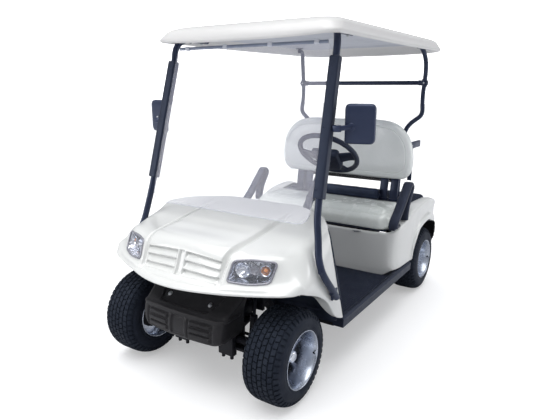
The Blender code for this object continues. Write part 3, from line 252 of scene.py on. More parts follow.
# ================================================================== geometry
def cubic(knots, values, at):
    """A smooth curve or surface direction: C2 cubic through the values, natural ends."""
    knots, v, at = np.asarray(knots, float), np.asarray(values, float), np.asarray(at, float)
    n, h = len(knots), np.diff(knots)
    a, r = np.eye(n), np.zeros_like(v)
    for i in range(1, n - 1):
        a[i, i - 1], a[i, i], a[i, i + 1] = h[i - 1], 2 * (h[i - 1] + h[i]), h[i]
        r[i] = 6 * ((v[i + 1] - v[i]) / h[i] - (v[i] - v[i - 1]) / h[i - 1])
    m = np.linalg.solve(a, r.reshape(n, -1)).reshape(v.shape)
    k = np.clip(np.searchsorted(knots, at, side="right") - 1, 0, n - 2)
    wide = (-1,) + (1,) * (v.ndim - 1)
    t0, t1, hk = ((x).reshape(wide) for x in (knots[k + 1] - at, at - knots[k], h[k]))
    return (m[k] * t0 ** 3 + m[k + 1] * t1 ** 3) / (6 * hk) + (v[k] / hk - m[k] * hk / 6) * t0 \
        + (v[k + 1] / hk - m[k + 1] * hk / 6) * t1


def chords(values):
    """Knots for rows of points: how far apart the rows are on average."""
    v = np.asarray(values, float)
    step = np.linalg.norm(np.diff(v, axis=0), axis=-1)
    step = step.reshape(len(step), -1).mean(axis=1)
    return np.concatenate([[0.0], np.cumsum(np.maximum(step, 1e-6))])


def along(values, at):
    """Rows at the places `at`, counted in rows of the table."""
    k = chords(values)
    return cubic(k, values, np.interp(at, np.arange(len(k)), k))


def path(points, n):
    """n points evenly spread on a smooth line through the given ones."""
    fine = along(np.array(points, float), np.linspace(0, len(points) - 1, 40 * len(points)))
    d = np.concatenate([[0], np.cumsum(np.linalg.norm(np.diff(fine, axis=0), axis=1))])
    t = np.linspace(0, d[-1], n)
    return np.stack([np.interp(t, d, fine[:, i]) for i in range(3)], axis=1)


def step(a, b, x):
    t = np.clip((np.asarray(x, float) - a) / (b - a), 0, 1)
    return t * t * (3 - 2 * t)


def grid_faces(rows, cols, wrap_rows=False, wrap_cols=False):
    i = np.arange(rows if wrap_rows else rows - 1)[:, None]
    j = np.arange(cols if wrap_cols else cols - 1)[None, :]
    i2, j2 = (i + 1) % rows, (j + 1) % cols
    a, b, c, d = i * cols + j, i * cols + j2, i2 * cols + j2, i2 * cols + j
    return [tuple(map(int, q)) for q in np.stack(np.broadcast_arrays(a, b, c, d), axis=-1).reshape(-1, 4)]


class Shape:
    """Meshes gathered into one piece."""

    def __init__(self):
        self.v, self.f, self.m = [], [], []

    def add(self, made, mat=0):
        verts, faces = made
        k = len(self.v)
        self.v += [tuple(float(c) for c in p) for p in verts]
        self.f += [tuple(i + k for i in face) for face in faces]
        self.m += [mat] * len(faces)
        return self

    def both(self):
        """Adds the same on the other side."""
        k = len(self.v)
        self.v += [(-x, y, z) for x, y, z in self.v]
        self.f += [tuple(i + k for i in reversed(face)) for face in self.f]
        self.m += self.m
        return self

    def other(self):
        """The same, on the other side only."""
        new = Shape()
        new.v = [(-x, y, z) for x, y, z in self.v]
        new.f = [tuple(reversed(face)) for face in self.f]
        new.m = list(self.m)
        return new

    def moved(self, matrix):
        new = Shape()
        new.v = [tuple(matrix @ Vector(p)) for p in self.v]
        new.f, new.m = list(self.f), list(self.m)
        return new

    def make(self, name, mats, body="frame", slot=None, replaces=(), angle=38, recalc=True, shell=0.0, offset=-1):
        mesh = bpy.data.meshes.new(name)
        mesh.from_pydata(self.v, [], self.f)
        for m in (mats if isinstance(mats, (list, tuple)) else [mats]):
            mesh.materials.append(m)
        mesh.polygons.foreach_set("material_index", self.m)
        if recalc:
            bm = bmesh.new()
            bm.from_mesh(mesh)
            bmesh.ops.remove_doubles(bm, verts=bm.verts, dist=2e-6)
            bmesh.ops.dissolve_degenerate(bm, edges=bm.edges, dist=1e-6)
            bmesh.ops.recalc_face_normals(bm, faces=bm.faces)
            bm.to_mesh(mesh)
            bm.free()
        obj = bpy.data.objects.new(name, mesh)
        scene.collection.objects.link(obj)
        if shell:
            mod = obj.modifiers.new("shell", "SOLIDIFY")
            mod.thickness, mod.offset, mod.use_even_offset = shell, offset, False
            obj = real(obj)
        obj.data.shade_smooth()
        obj.data.set_sharp_from_angle(angle=math.radians(angle))
        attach(obj, body)
        if replaces:
            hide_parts(*replaces)
        return obj


def real(obj):
    """The object with its modifiers applied."""
    bpy.context.view_layer.update()
    graph = bpy.context.evaluated_depsgraph_get()
    mesh = bpy.data.meshes.new_from_object(obj.evaluated_get(graph))
    obj.modifiers.clear()
    obj.data = mesh
    return obj


def from_bm(bm):
    made = [tuple(v.co) for v in bm.verts], [tuple(v.index for v in f.verts) for f in bm.faces]
    bm.free()
    return made


def block(low, high, bevel=0.002, segments=2, turn=None):
    """A moulded block with rounded edges."""
    bm = bmesh.new()
    bmesh.ops.create_cube(bm, size=1.0)
    low, high = Vector(low), Vector(high)
    bmesh.ops.scale(bm, vec=high - low, verts=bm.verts)
    if bevel:
        bmesh.ops.bevel(bm, geom=list(bm.edges), offset=bevel, segments=segments, profile=0.5, affect="EDGES")
    if turn is not None:
        bmesh.ops.transform(bm, matrix=turn, verts=bm.verts)
    bmesh.ops.translate(bm, vec=(low + high) / 2, verts=bm.verts)
    bm.verts.index_update()
    return from_bm(bm)


def bar(a, b, width, depth, side=(1, 0, 0), bevel=0.002, segments=2):
    """A straight bar between two points; width runs along side."""
    a, b = Vector(a), Vector(b)
    w = (b - a).normalized()
    s = (Vector(side) - w * Vector(side).dot(w)).normalized()
    t = w.cross(s)
    verts, faces = block((-width / 2, -depth / 2, -(b - a).length / 2), (width / 2, depth / 2, (b - a).length / 2),
                         bevel, segments)
    m = Matrix((s, t, w)).transposed().to_4x4()
    m.translation = (a + b) / 2
    return [m @ Vector(v) for v in verts], faces


def frame_of(axis):
    z = Vector(axis).normalized()
    x = z.orthogonal().normalized()
    return x, z.cross(x), z


def turned(origin, axis, profile, sides=32, phase=0.0):
    """A profile of (distance along the axis, radius) turned about the axis. Ends at radius 0 close it."""
    x, y, z = (np.array(v) for v in frame_of(axis))
    o = np.array(origin, float)
    verts, faces, rings = [], [], []
    for d, r in profile:
        if r <= 1e-7:
            rings.append([len(verts)])
            verts.append(o + z * d)
        else:
            rings.append(list(range(len(verts), len(verts) + sides)))
            for k in range(sides):
                a = 2 * math.pi * k / sides + phase
                verts.append(o + z * d + (x * math.cos(a) + y * math.sin(a)) * r)
    for p, q in zip(rings, rings[1:]):
        for k in range(sides):
            k2 = (k + 1) % sides
            if len(p) == 1 and len(q) == 1:
                break
            if len(p) == 1:
                faces.append((p[0], q[k], q[k2]))
            elif len(q) == 1:
                faces.append((p[k], q[0], p[k2]))
            else:
                faces.append((p[k], q[k], q[k2], p[k2]))
    return verts, faces


def disc(a, b, r, chamfer=0.0015, sides=32):
    """A short round part from a to b with softened edges."""
    a, b = np.array(a, float), np.array(b, float)
    d = np.linalg.norm(b - a)
    c = min(chamfer, d / 2.2, r / 2.2)
    return turned(a, b - a, [(0, 0), (0, r - c), (c * 0.3, r - c * 0.3), (c, r), (d - c, r), (d - c * 0.3, r - c * 0.3),
                             (d, r - c), (d, 0)], sides)


def transported(points, closed=False, up=None):
    """For each point: the point, and two unit vectors across the path that don't twist."""
    p = np.array(points, float)
    if closed:
        t = np.roll(p, -1, 0) - np.roll(p, 1, 0)
    else:
        t = np.gradient(p, axis=0)
    t /= np.linalg.norm(t, axis=1)[:, None]
    found = []
    if up is not None:
        for q, w in zip(p, t):
            s = np.cross(w, up)
            s /= np.linalg.norm(s)
            found.append((q, s, np.cross(s, w)))
        return found
    s = np.cross(t[0], (0, 0, 1.0))
    if np.linalg.norm(s) < 0.2:
        s = np.cross(t[0], (0, 1.0, 0))
    s /= np.linalg.norm(s)
    for q, w in zip(p, t):
        s = s - w * s.dot(w)
        s /= np.linalg.norm(s)
        found.append((q, s, np.cross(s, w)))
    if closed:  # spreads what twist is left
        end = found[-1][1]
        first = found[0][1]
        w = t[0]
        e = end - w * end.dot(w)
        e /= np.linalg.norm(e)
        angle = math.atan2(np.cross(e, first).dot(w), e.dot(first))
        n = len(found)
        for k, (q, s, u) in enumerate(found):
            a = angle * k / n
            found[k] = (q, s * math.cos(a) - u * math.sin(a), u * math.cos(a) + s * math.sin(a))
    return found


def pipe(points, radius, sides=16, closed=False, up=None, section=None, caps=True):
    """A tube along points. radius is a number or one for each point; section gives (across, up) pairs instead of a circle."""
    if section is None:
        section = [(math.cos(2 * math.pi * k / sides), math.sin(2 * math.pi * k / sides)) for k in range(sides)]
        radii = np.broadcast_to(radius, len(points))
    else:
        radii = np.broadcast_to(radius, len(points))
    verts = []
    for (q, s, u), r in zip(transported(points, closed, up), radii):
        for a, b in section:
            verts.append(q + (s * a + u * b) * r)
    n, m = len(points), len(section)
    faces = grid_faces(n, m, wrap_rows=closed, wrap_cols=True)
    if caps and not closed:
        faces += [tuple(range(m)), tuple(range((n - 1) * m, n * m))]
    return verts, faces


def hexagon(p, n, across=0.0065, tall=0.005, washer=True):
    """A hex bolt head on its washer."""
    p, n = np.array(p, float), np.array(n, float) / np.linalg.norm(n)
    shape = Shape()
    if washer:
        shape.add(turned(p, n, [(0, 0), (0, across * 1.65), (0.0012, across * 1.65), (0.0016, across * 1.5), (0.0016, 0)], 20))
    shape.add(turned(p + n * 0.0012, n, [(0, 0), (0, across), (tall * 0.8, across), (tall, across * 0.82), (tall, 0)], 6))
    return shape.v, shape.f


def dome_bolt(p, n, r=0.007, tall=0.004):
    return turned(p, n, [(0, 0), (0, r), (tall * 0.45, r * 0.96), (tall * 0.8, r * 0.7), (tall, r * 0.35), (tall * 0.85, 0)], 16)


def rounded_outline(points, radius, steps=6):
    """A flat polygon with its corners rounded."""
    pts, n, out = [np.array(p, float) for p in points], len(points), []
    for k in range(n):
        a, b, c = pts[k - 1], pts[k], pts[(k + 1) % n]
        r = radius[k] if isinstance(radius, (list, tuple)) else radius
        u, w = a - b, c - b
        lu, lw = np.linalg.norm(u), np.linalg.norm(w)
        cut = min(r, 0.48 * lu, 0.48 * lw)
        p0, p2 = b + u / lu * cut, b + w / lw * cut
        for s in np.linspace(0, 1, steps + 1):
            out.append((1 - s) ** 2 * p0 + 2 * s * (1 - s) * b + s ** 2 * p2)
    return out


def stacked(rings, cap=True):
    """A solid through rings of equally many points."""
    n = len(rings[0])
    verts = [p for ring in rings for p in ring]
    faces = grid_faces(len(rings), n, wrap_cols=True)
    if cap:
        for start in (0, (len(rings) - 1) * n):
            verts.append(np.mean(np.array(verts[start:start + n], float), axis=0))
            c = len(verts) - 1
            faces += [(start + k, start + (k + 1) % n, c) for k in range(n)]
    return verts, faces


def normals_of(P):
    """Unit normals of a grid of points."""
    n = np.cross(np.gradient(P, axis=0), np.gradient(P, axis=1))
    return n / np.maximum(np.linalg.norm(n, axis=2, keepdims=True), 1e-12)


def post_at(z, forward=0.0, side=1):
    """A point on a post's axis at height z, moved forward at right angles to its front."""
    t = (POST_TOP[2] - z) / (POST_TOP[2] - POST_LOW[2])
    x, y = (POST_TOP + (POST_LOW - POST_TOP) * t)[:2]
    return np.array((side * x, y - forward * math.cos(RAKE), z + forward * math.sin(RAKE)))


def pair(shape, name, mats, slot, replaces, angle=38, body=("frame", "frame"), **more):
    """The piece on the left and its mirror image on the right."""
    left = shape.make(name + "_left", mats, body[0], slot, [replaces + "_left"] if replaces else (), angle, **more)
    right = shape.other().make(name + "_right", mats, body[1], slot, [replaces + "_right"] if replaces else (), angle, **more)
    return left, right


def box_section(w, h, r, n=4):
    out = []
    for cx, cy, start in ((w / 2, h / 2, 0), (-w / 2, h / 2, 90), (-w / 2, -h / 2, 180), (w / 2, -h / 2, 270)):
        for k in range(n + 1):
            a = math.radians(start + 90 * k / n)
            out.append((cx - math.copysign(r, cx) + r * math.cos(a), cy - math.copysign(r, cy) + r * math.sin(a)))
    return out


# ================================================================ front cowl
COWL = np.array([  # rows from the rear edge to the front lip; columns from the centre to the wheel arch
    [(0, -.330, .800), (.130, -.336, .802), (.265, -.358, .803), (.380, -.420, .800), (.455, -.490, .797), (.510, -.565, .786), (.537, -.585, .752), (.560, -.588, .660), (.580, -.500, .310)],
    [(0, -.470, .790), (.130, -.475, .791), (.256, -.485, .790), (.360, -.525, .784), (.435, -.580, .776), (.500, -.635, .758), (.533, -.665, .712), (.569, -.660, .600), (.582, -.580, .352)],
    [(0, -.650, .768), (.130, -.655, .769), (.258, -.660, .766), (.355, -.685, .758), (.430, -.715, .750), (.496, -.745, .730), (.538, -.760, .675), (.575, -.745, .585), (.585, -.660, .445)],
    [(0, -.850, .742), (.130, -.852, .742), (.256, -.855, .737), (.345, -.850, .728), (.420, -.840, .722), (.487, -.835, .705), (.538, -.835, .655), (.577, -.825, .600), (.586, -.770, .522)],
    [(0, -.992, .711), (.130, -.993, .707), (.245, -.985, .696), (.285, -.975, .693), (.385, -.940, .695), (.458, -.903, .690), (.522, -.885, .648), (.572, -.878, .610), (.586, -.850, .556)],
    [(0, -1.055, .590), (.130, -1.052, .590), (.235, -1.038, .592), (.280, -1.022, .604), (.380, -.985, .607), (.452, -.950, .609), (.518, -.922, .607), (.562, -.908, .603), (.583, -.890, .573)],
    [(0, -1.125, .571), (.130, -1.110, .571), (.240, -1.074, .569), (.300, -1.053, .568), (.390, -1.017, .570), (.465, -.985, .573), (.518, -.959, .575), (.551, -.934, .573), (.571, -.911, .575)],
])
LAMP = [(.280, -.984, .690), (.272, -1.024, .608), (.450, -.953, .612), (.459, -.904, .692)]
LAMP_BACK = np.array((-0.35, 0.90, 0.0)) / math.hypot(0.35, 0.90)


def whole(table):
    """Both sides of a table of half rows."""
    other = table[:, :0:-1].copy()
    other[..., 0] *= -1
    return np.concatenate([other, table], axis=1)


def cowl_grid():
    full = whole(COWL)
    u = np.concatenate([np.linspace(0, 3.9, 54), np.linspace(4.0, 5.05, 52)[0:], np.linspace(5.12, 6, 14)])
    half = np.concatenate([np.linspace(0, 0.22, 10), np.linspace(0.26, 1.62, 22), np.linspace(1.66, 2.34, 29),
                           np.linspace(2.42, 8, 62)])
    v = np.concatenate([-half[:0:-1], half])
    P = along(full, u)
    P = along(P.transpose(1, 0, 2), v + 8).transpose(1, 0, 2)
    U, V = np.meshgrid(u, np.abs(v), indexing="ij")
    # the front corners are round: the last rows and columns bend into each other
    a, b = np.clip((U - 4.5) / 1.5, 0, 1), np.clip((V - 6.4) / 1.6, 0, 1)
    norm = np.maximum((a ** 4 + b ** 4) ** (1 / 4), 1e-9)
    pull = np.maximum(a, b) / norm
    back_u, back_v = np.where(a * b > 0, 4.5 + 1.5 * a * pull, U), np.where(a * b > 0, 6.4 + 1.6 * b * pull, V)
    iu = np.interp(back_u, u, np.arange(len(u)))
    iv = np.interp(back_v, half, np.arange(len(half))) * np.where(v < 0, -1, 1)[None, :] + len(half) - 1
    i0, j0 = np.clip(np.floor(iu).astype(int), 0, len(u) - 2), np.clip(np.floor(iv).astype(int), 0, len(v) - 2)
    s, t = (iu - i0)[..., None], (iv - j0)[..., None]
    P = (P[i0, j0] * (1 - s) + P[i0 + 1, j0] * s) * (1 - t) + (P[i0, j0 + 1] * (1 - s) + P[i0 + 1, j0 + 1] * s) * t
    N = normals_of(P)
    if N[30, len(v) // 2, 2] < 0:
        N = -N
    X = np.abs(P[..., 0])
    # distance from the crease beside the centre panel
    near = np.stack([np.interp(2, half, X[i, len(half) - 1:]) for i in range(len(u))])[:, None]
    gap = X - near
    fade = step(0.7, 1.9, U) * (1 - step(4.95, 5.85, U))
    rise = 0.005 * (1 - step(-0.006, 0.010, gap)) * (1 - 0.4 * step(3, 5, U))
    dip = -0.0210 * np.exp(-(np.abs(gap) / 0.0130) ** 3.2)
    shift = (rise + dip * (1 - 0.62 * step(4.1, 5.3, U))) * fade
    shift = shift + 0.0035 * np.exp(-((U - 2.75) / 0.20) ** 2) * (1 - step(-0.05, -0.01, gap))
    # two banks of three moulded louvres
    top, low = 4.14, 4.985
    t = (U - top) / (low - top) * 3
    inside = step(0.0, 0.10, t) * (1 - step(2.92, 3.0, t)) * step(0.023, 0.030, X) * (1 - step(0.2215, 0.229, X))
    part = np.clip(t, 0, 2.9999) % 1.0
    blade = np.where(part < 0.16, part / 0.16, 1 - (part - 0.16) / 0.84 * 0.86)
    shift = shift - 0.0190 * blade ** 1.15 * inside
    shift = shift - 0.0110 * step(-0.05, 0.12, t) * (1 - step(2.88, 3.02, t)) * (1 - step(0.011, 0.017, X))
    # a soft bead above the front lip
    shift = shift + 0.004 * np.exp(-((U - 5.62) / 0.16) ** 2) * (1 - step(0.42, 0.50, X))
    P = P + N * shift[..., None]
    return u, v, P, N


def unit(a):
    return a / np.maximum(np.linalg.norm(a, axis=-1, keepdims=True), 1e-12)


u_rows, v_cols, cowl_P, cowl_N = cowl_grid()
skin = np.array(cowl_P)


def softened(values, times):
    """Values round a closed line, averaged with their neighbours."""
    for _ in range(times):
        values = 0.25 * np.roll(values, 1, 0) + 0.5 * values + 0.25 * np.roll(values, -1, 0)
    return values


def with_edges(P, N):
    """The cowl's surface and one rolled lip with a flange all the way round it."""
    nu, nv = P.shape[:2]
    rim = [(0, j) for j in range(nv)] + [(i, nv - 1) for i in range(1, nu)] + [(nu - 1, j) for j in range(nv - 2, -1, -1)] \
        + [(i, 0) for i in range(nu - 2, 0, -1)]
    i, j = np.array(rim).T
    edge, nrm = P[i, j], N[i, j]
    inner = P[np.clip(i, 1, nu - 2), np.clip(j, 1, nv - 2)]
    run = unit(np.roll(edge, -1, 0) - np.roll(edge, 1, 0))
    out = unit(np.cross(run, nrm))
    out *= np.sign((out * (edge - inner)).sum(axis=1, keepdims=True))
    out = unit(softened(out, 3))
    side = ((j == 0) | (j == nv - 1)).astype(float)
    rear, front = (i == 0).astype(float), (i == nu - 1).astype(float)
    u = u_rows[i]
    ease = step(0.36, 0.54, np.abs(edge[:, 0]))
    radius = softened(0.006 * side + (1 - side) * (0.006 * rear + (0.006 - 0.001 * ease) * front), 4)[:, None]
    reach = 0.046 * step(0.5, 2.0, u) * (1 - step(5.0, 5.7, u)) + 0.007
    flange = softened(reach * side + (1 - side) * (0.014 * rear + 0.004 * front), 4)[:, None]
    across = np.stack([-np.sign(edge[:, 0]) * 0.9, np.zeros(len(edge)), np.zeros(len(edge))], axis=1)
    sideways = (side * step(0.3, 1.2, u) * (1 - step(5.0, 5.8, u)))[:, None]
    inwards = unit(softened(across * sideways - nrm * (1 - 0.9 * sideways), 4))
    rows = []
    for k in range(1, 5):
        a = math.pi / 2 * k / 4
        rows.append(edge - nrm * radius * (1 - math.cos(a)) + out * radius * math.sin(a))
    last = rows[-1]
    for k in range(1, 5):
        rows.append(last + inwards * flange * k / 4)
    verts = [tuple(p) for p in P.reshape(-1, 3)] + [tuple(p) for ring in rows for p in ring]
    faces = grid_faces(nu, nv)
    loops = [[a * nv + b for a, b in rim]]
    for k in range(len(rows)):
        loops.append([nu * nv + k * len(rim) + m for m in range(len(rim))])
    for one, two in zip(loops, loops[1:]):
        for m in range(len(rim)):
            n = (m + 1) % len(rim)
            faces.append((one[m], one[n], two[n], two[m]))
    return verts, faces


cowl_all = with_edges(cowl_P, cowl_N)
cowl_tree = BVHTree.FromPolygons([tuple(p) for p in cowl_P.reshape(-1, 3)],
                                 grid_faces(cowl_P.shape[0], cowl_P.shape[1]))


def on_cowl(p, way=LAMP_BACK):
    """Where a line through p meets the cowl's skin."""
    start = Vector(np.array(p, float) - way * 0.25)
    hit = cowl_tree.ray_cast(start, Vector(way))
    return np.array(hit[0]) if hit[0] is not None else np.array(p, float)


lamp_outline = rounded_outline([LAMP[0], LAMP[1], (.368, -.991, .602), LAMP[2], LAMP[3], (.366, -.948, .701)],
                               [0.018, 0.014, 0.040, 0.018, 0.020, 0.040], 7)
lamp_middle = np.mean(np.array(lamp_outline), axis=0)

cowl = Shape().add(cowl_all)
cowl = cowl.make("cowl", BODY, "frame", "body_gloss", ["front_cowl"], angle=50, shell=0.0032, offset=-1)
hole = Shape()
for mirrored in (1, -1):
    rings = []
    for d in (-0.10, 0.14):
        rings.append([np.array((mirrored, 1, 1)) * (np.array(p) + LAMP_BACK * d) for p in lamp_outline])
    hole.add(stacked(rings))
hole = hole.make("lamp_openings", BODY)
cut = cowl.modifiers.new("cut", "BOOLEAN")
cut.operation, cut.object, cut.solver = "DIFFERENCE", hole, "EXACT"
real(cowl)
bpy.data.objects.remove(hole, do_unlink=True)
cowl.data.shade_smooth()
cowl.data.set_sharp_from_angle(angle=math.radians(40))

edge_trim = Shape().add(pipe([p + np.array((0, 0.004, -0.006)) for p in cowl_P[0][3:-3:2]], 0.0055, 10))
edge_trim.make("cowl_edge_trim", SOFT_GRIP, "frame", "trim_black")

# ---------------------------------------------------------------- headlights
lamp = Shape()
front_line = [on_cowl(p) for p in lamp_outline]
lamp.add(pipe([p - LAMP_BACK * 0.0015 for p in front_line], 0.0050, 10, closed=True), 0)
count = len(lamp_outline)
bucket = []
for depth, grow in ((0.0015, 0.985), (0.008, 0.955), (0.022, 0.90), (0.045, 0.80), (0.060, 0.66)):
    bucket.append([lamp_middle + (np.array(q) - lamp_middle) * grow + LAMP_BACK * depth
                   + (f - np.array(q)) * (1 - step(0.0, 0.045, depth)) for q, f in zip(lamp_outline, front_line)])
n0 = len(bucket[0])
lamp.add(([p for ring in bucket for p in ring] + [np.mean(bucket[-1], axis=0)],
          grid_faces(len(bucket), n0, wrap_cols=True)
          + [((len(bucket) - 1) * n0 + k, (len(bucket) - 1) * n0 + (k + 1) % n0, len(bucket) * n0) for k in range(n0)]), 4)
aim = -LAMP_BACK * 0.86 + np.array((0, -0.42, 0.0))
aim = aim / np.linalg.norm(aim)


def bowl(centre, r, deep):
    """A reflector: a dish with a rim, open to the front."""
    prof = [(deep * (q / r) ** 2 - deep, q) for q in np.linspace(0.0, r, 9)]
    prof += [(0.0015, r + 0.0015), (0.0, r + 0.003), (-0.004, r + 0.003)]
    return turned(centre, aim, prof, 36)


lamp_out = np.array(LAMP).mean(axis=0)
across = unit(np.array(LAMP[3]) - np.array(LAMP[0]))
main_c = lamp_out - across * 0.046 + LAMP_BACK * 0.022 + np.array((0, 0, 0.001))
mid_c = lamp_out + across * 0.010 + LAMP_BACK * 0.017 + np.array((0, 0, 0.004))
turn_c = lamp_out + across * 0.056 + LAMP_BACK * 0.018 + np.array((0, 0, 0.002))
lamp.add(bowl(main_c, 0.0330, 0.028), 1)
lamp.add(turned(main_c - aim * 0.028, aim, [(0, 0), (0, .0075), (.010, .0085), (.020, .0075), (.026, .004), (.028, 0)], 20), 2)
lamp.add(bowl(turn_c, 0.0235, 0.020), 1)
lamp.add(turned(mid_c, aim, [(-.016, 0), (-.012, .010), (-.004, .0165), (0, .0185), (.002, .0215), (-.004, .0225), (-.012, .0225)], 32), 0)
lamp.add(turned(mid_c - aim * 0.004, aim, [(0, 0.0172), (.006, .0145), (.0105, .008), (.0120, 0)], 32), 2)
lamp.add(turned(turn_c - aim * 0.018, aim, [(0, 0), (0, .007), (.007, .0105), (.014, .010), (.019, .006), (.021, 0)], 20), 3)
for q in (0.33, 0.66):
    a, b = np.array(LAMP[0]) * (1 - q) + np.array(LAMP[3]) * q, np.array(LAMP[1]) * (1 - q) + np.array(LAMP[2]) * q
    lamp.add(pipe([a + LAMP_BACK * 0.034 - np.array((0, 0, .008)), b + LAMP_BACK * 0.034 + np.array((0, 0, .008))], 0.0016, 8), 1)
glass = []
for k, s in enumerate((1.0, 0.985, 0.93, 0.82, 0.66, 0.48, 0.28, 0.10)):
    ring = []
    for q in lamp_outline:
        p = lamp_middle + (np.array(q) - lamp_middle) * s
        ring.append(on_cowl(p) - LAMP_BACK * (0.0005 + 0.0045 * (1 - s ** 4)))
    glass.append(ring)
lens = Shape().add(([p for r in glass for p in r] + [np.mean(glass[-1], axis=0)], grid_faces(len(glass), count, wrap_cols=True)
                    + [((len(glass) - 1) * count + k, (len(glass) - 1) * count + (k + 1) % count, len(glass) * count)
                       for k in range(count)]))
pair(lamp, "headlamp", [BEZEL, CHROME, LENS, AMBER, BUCKET], "lamp_clear", "headlight", angle=45)
pair(lens, "headlamp_lens", LENS, "lamp_clear", None, recalc=True, shell=0.0016)

# =============================================================== front bumper
BUMPER = np.array([  # half width, front y, back y, corner radius, z
    (0.282, -0.925, -0.880, 0.020, 0.500), (0.262, -0.985, -0.880, 0.030, 0.445), (0.252, -1.046, -0.880, 0.035, 0.403),
    (0.248, -1.068, -0.880, 0.042, 0.335), (0.240, -1.066, -0.890, 0.045, 0.299), (0.216, -1.050, -0.930, 0.045, 0.281)])


def u_half(half, front, back, radius, z, sign, nf=56, nc=12, nb=12):
    """From the centre along the front, round the corner and back; sign is -1 at the front of the cart."""
    x = np.linspace(0, half - radius, nf)
    crown = 0.012 * (x / (half - radius)) ** 2
    pts = [(a, front - sign * c, z) for a, c in zip(x, crown)]
    for k in range(1, nc + 1):
        a = math.radians(90 * k / nc)
        pts.append((half - radius + radius * math.sin(a), front - sign * (0.012 + radius - radius * math.cos(a)), z))
    y1 = pts[-1][1]
    for t in np.linspace(0, 1, nb + 1)[1:]:
        pts.append((half, y1 + (back - y1) * t, z))
    return pts


def u_surface(table, rows, sign):
    levels = along(table, rows)
    half = np.array([u_half(*lv, sign) for lv in levels])
    return whole(half)


rows = np.linspace(0, 5, 92)
B = u_surface(BUMPER, rows, -1)
NB = normals_of(B)
if NB[50, B.shape[1] // 2, 1] > 0:
    NB = -NB
X, Z = np.abs(B[..., 0]), B[..., 2]
face = step(-0.90, -0.93, B[..., 1])
shift = np.zeros_like(X)
wide_at = np.interp(Z, [0.425, 0.480], [0.150, 0.190])
shift -= 0.0085 * (1 - step(-0.003, 0.002, X - wide_at)) * step(0.421, 0.426, Z) * (1 - step(0.480, 0.486, Z))
shift += 0.0065 * np.exp(-((Z - 0.403) / 0.0065) ** 2)
lower = step(0.296, 0.303, Z) * (1 - step(0.386, 0.392, Z))
shift -= 0.009 * (1 - step(0.036, 0.043, X)) * lower
for level in (0.372, 0.343, 0.314):
    shift += 0.0090 * step(level - 0.0115, level - 0.0075, Z) * (1 - step(level + 0.0075, level + 0.0115, Z)) \
        * step(0.066, 0.072, X) * (1 - step(0.186, 0.196, X))
shift -= 0.006 * step(0.055, 0.060, X) * (1 - step(0.200, 0.207, X)) * lower
B = B + NB * (shift * face)[..., None]
bumper = Shape().add((B.reshape(-1, 3), grid_faces(B.shape[0], B.shape[1])))
bumper.make("front_bumper_cover", CHARCOAL, "frame", "bumper_grey", ["front_bumper"], angle=42, shell=0.004, offset=-1)
bumper_tree = BVHTree.FromPolygons([tuple(p) for p in B.reshape(-1, 3)], grid_faces(B.shape[0], B.shape[1]))
bolts = Shape()
for x in (-0.128, 0.128):
    hit = bumper_tree.ray_cast(Vector((x, -1.2, 0.442)), Vector((0, 1, 0)))
    n = hit[1] if hit[1].y < 0 else -hit[1]
    bolts.add(hexagon(hit[0], n, 0.0078, 0.0060))
bolts.make("front_bumper_bolts", STEEL, "frame", "alloy")

# =================================================================== dashboard
DASH = np.array([
    [(0, -.340, .788), (.130, -.346, .790), (.262, -.368, .790), (.372, -.430, .786), (.444, -.500, .781), (.497, -.570, .765)],
    [(0, -.352, .735), (.130, -.358, .735), (.262, -.380, .735), (.375, -.440, .735), (.455, -.510, .733), (.522, -.572, .725)],
    [(0, -.400, .640), (.130, -.403, .640), (.262, -.420, .640), (.380, -.460, .640), (.470, -.510, .640), (.548, -.560, .640)],
    [(0, -.490, .500), (.130, -.490, .500), (.262, -.492, .500), (.385, -.500, .500), (.480, -.515, .500), (.558, -.530, .500)],
    [(0, -.520, .380), (.130, -.520, .380), (.262, -.520, .380), (.390, -.516, .380), (.485, -.510, .380), (.562, -.500, .380)],
    [(0, -.520, .276), (.130, -.520, .276), (.262, -.520, .276), (.390, -.514, .276), (.485, -.505, .276), (.528, -.495, .276)]])
D = along(whole(DASH), np.linspace(0, 5, 110))
D = along(D.transpose(1, 0, 2), np.linspace(0, 10, 170)).transpose(1, 0, 2)
ND = normals_of(D)
if ND[50, 85, 1] < 0:
    ND = -ND
X, Z = D[..., 0], D[..., 2]


def recess(x0, x1, z0, z1, deep, soft=0.008):
    return -deep * step(x0 - soft, x0, X) * (1 - step(x1, x1 + soft, X)) * step(z0 - soft, z0, Z) * (1 - step(z1, z1 + soft, Z))


shift = recess(-0.40, -0.15, 0.672, 0.742, 0.060) + recess(-0.098, -0.012, 0.690, 0.752, 0.040) \
    + recess(0.012, 0.098, 0.690, 0.752, 0.040) + recess(0.36, 0.43, 0.672, 0.742, 0.045)
shift += 0.005 * step(-0.12, -0.112, X) * (1 - step(0.112, 0.12, X)) * step(0.60, 0.606, Z) * (1 - step(0.660, 0.668, Z))
for level in (0.330, 0.400, 0.470, 0.540):
    shift -= 0.004 * np.exp(-((Z - level) / 0.005) ** 2) * (1 - step(0.44, 0.46, np.abs(X)))
D = D + ND * shift[..., None]
dash = Shape().add((D.reshape(-1, 3), grid_faces(D.shape[0], D.shape[1])))
dash.make("dash_panel", PLASTIC, "frame", "trim_black", ["dashboard"], angle=42, shell=0.004, offset=-1)
controls = Shape()
dash_tree = BVHTree.FromPolygons([tuple(p) for p in D.reshape(-1, 3)], grid_faces(D.shape[0], D.shape[1]))


def on_dash(x, z):
    hit = dash_tree.ray_cast(Vector((x, 0.3, z)), Vector((0, -1, 0)))
    n = hit[1] if hit[1].y > 0 else -hit[1]
    return np.array(hit[0]), np.array(n)


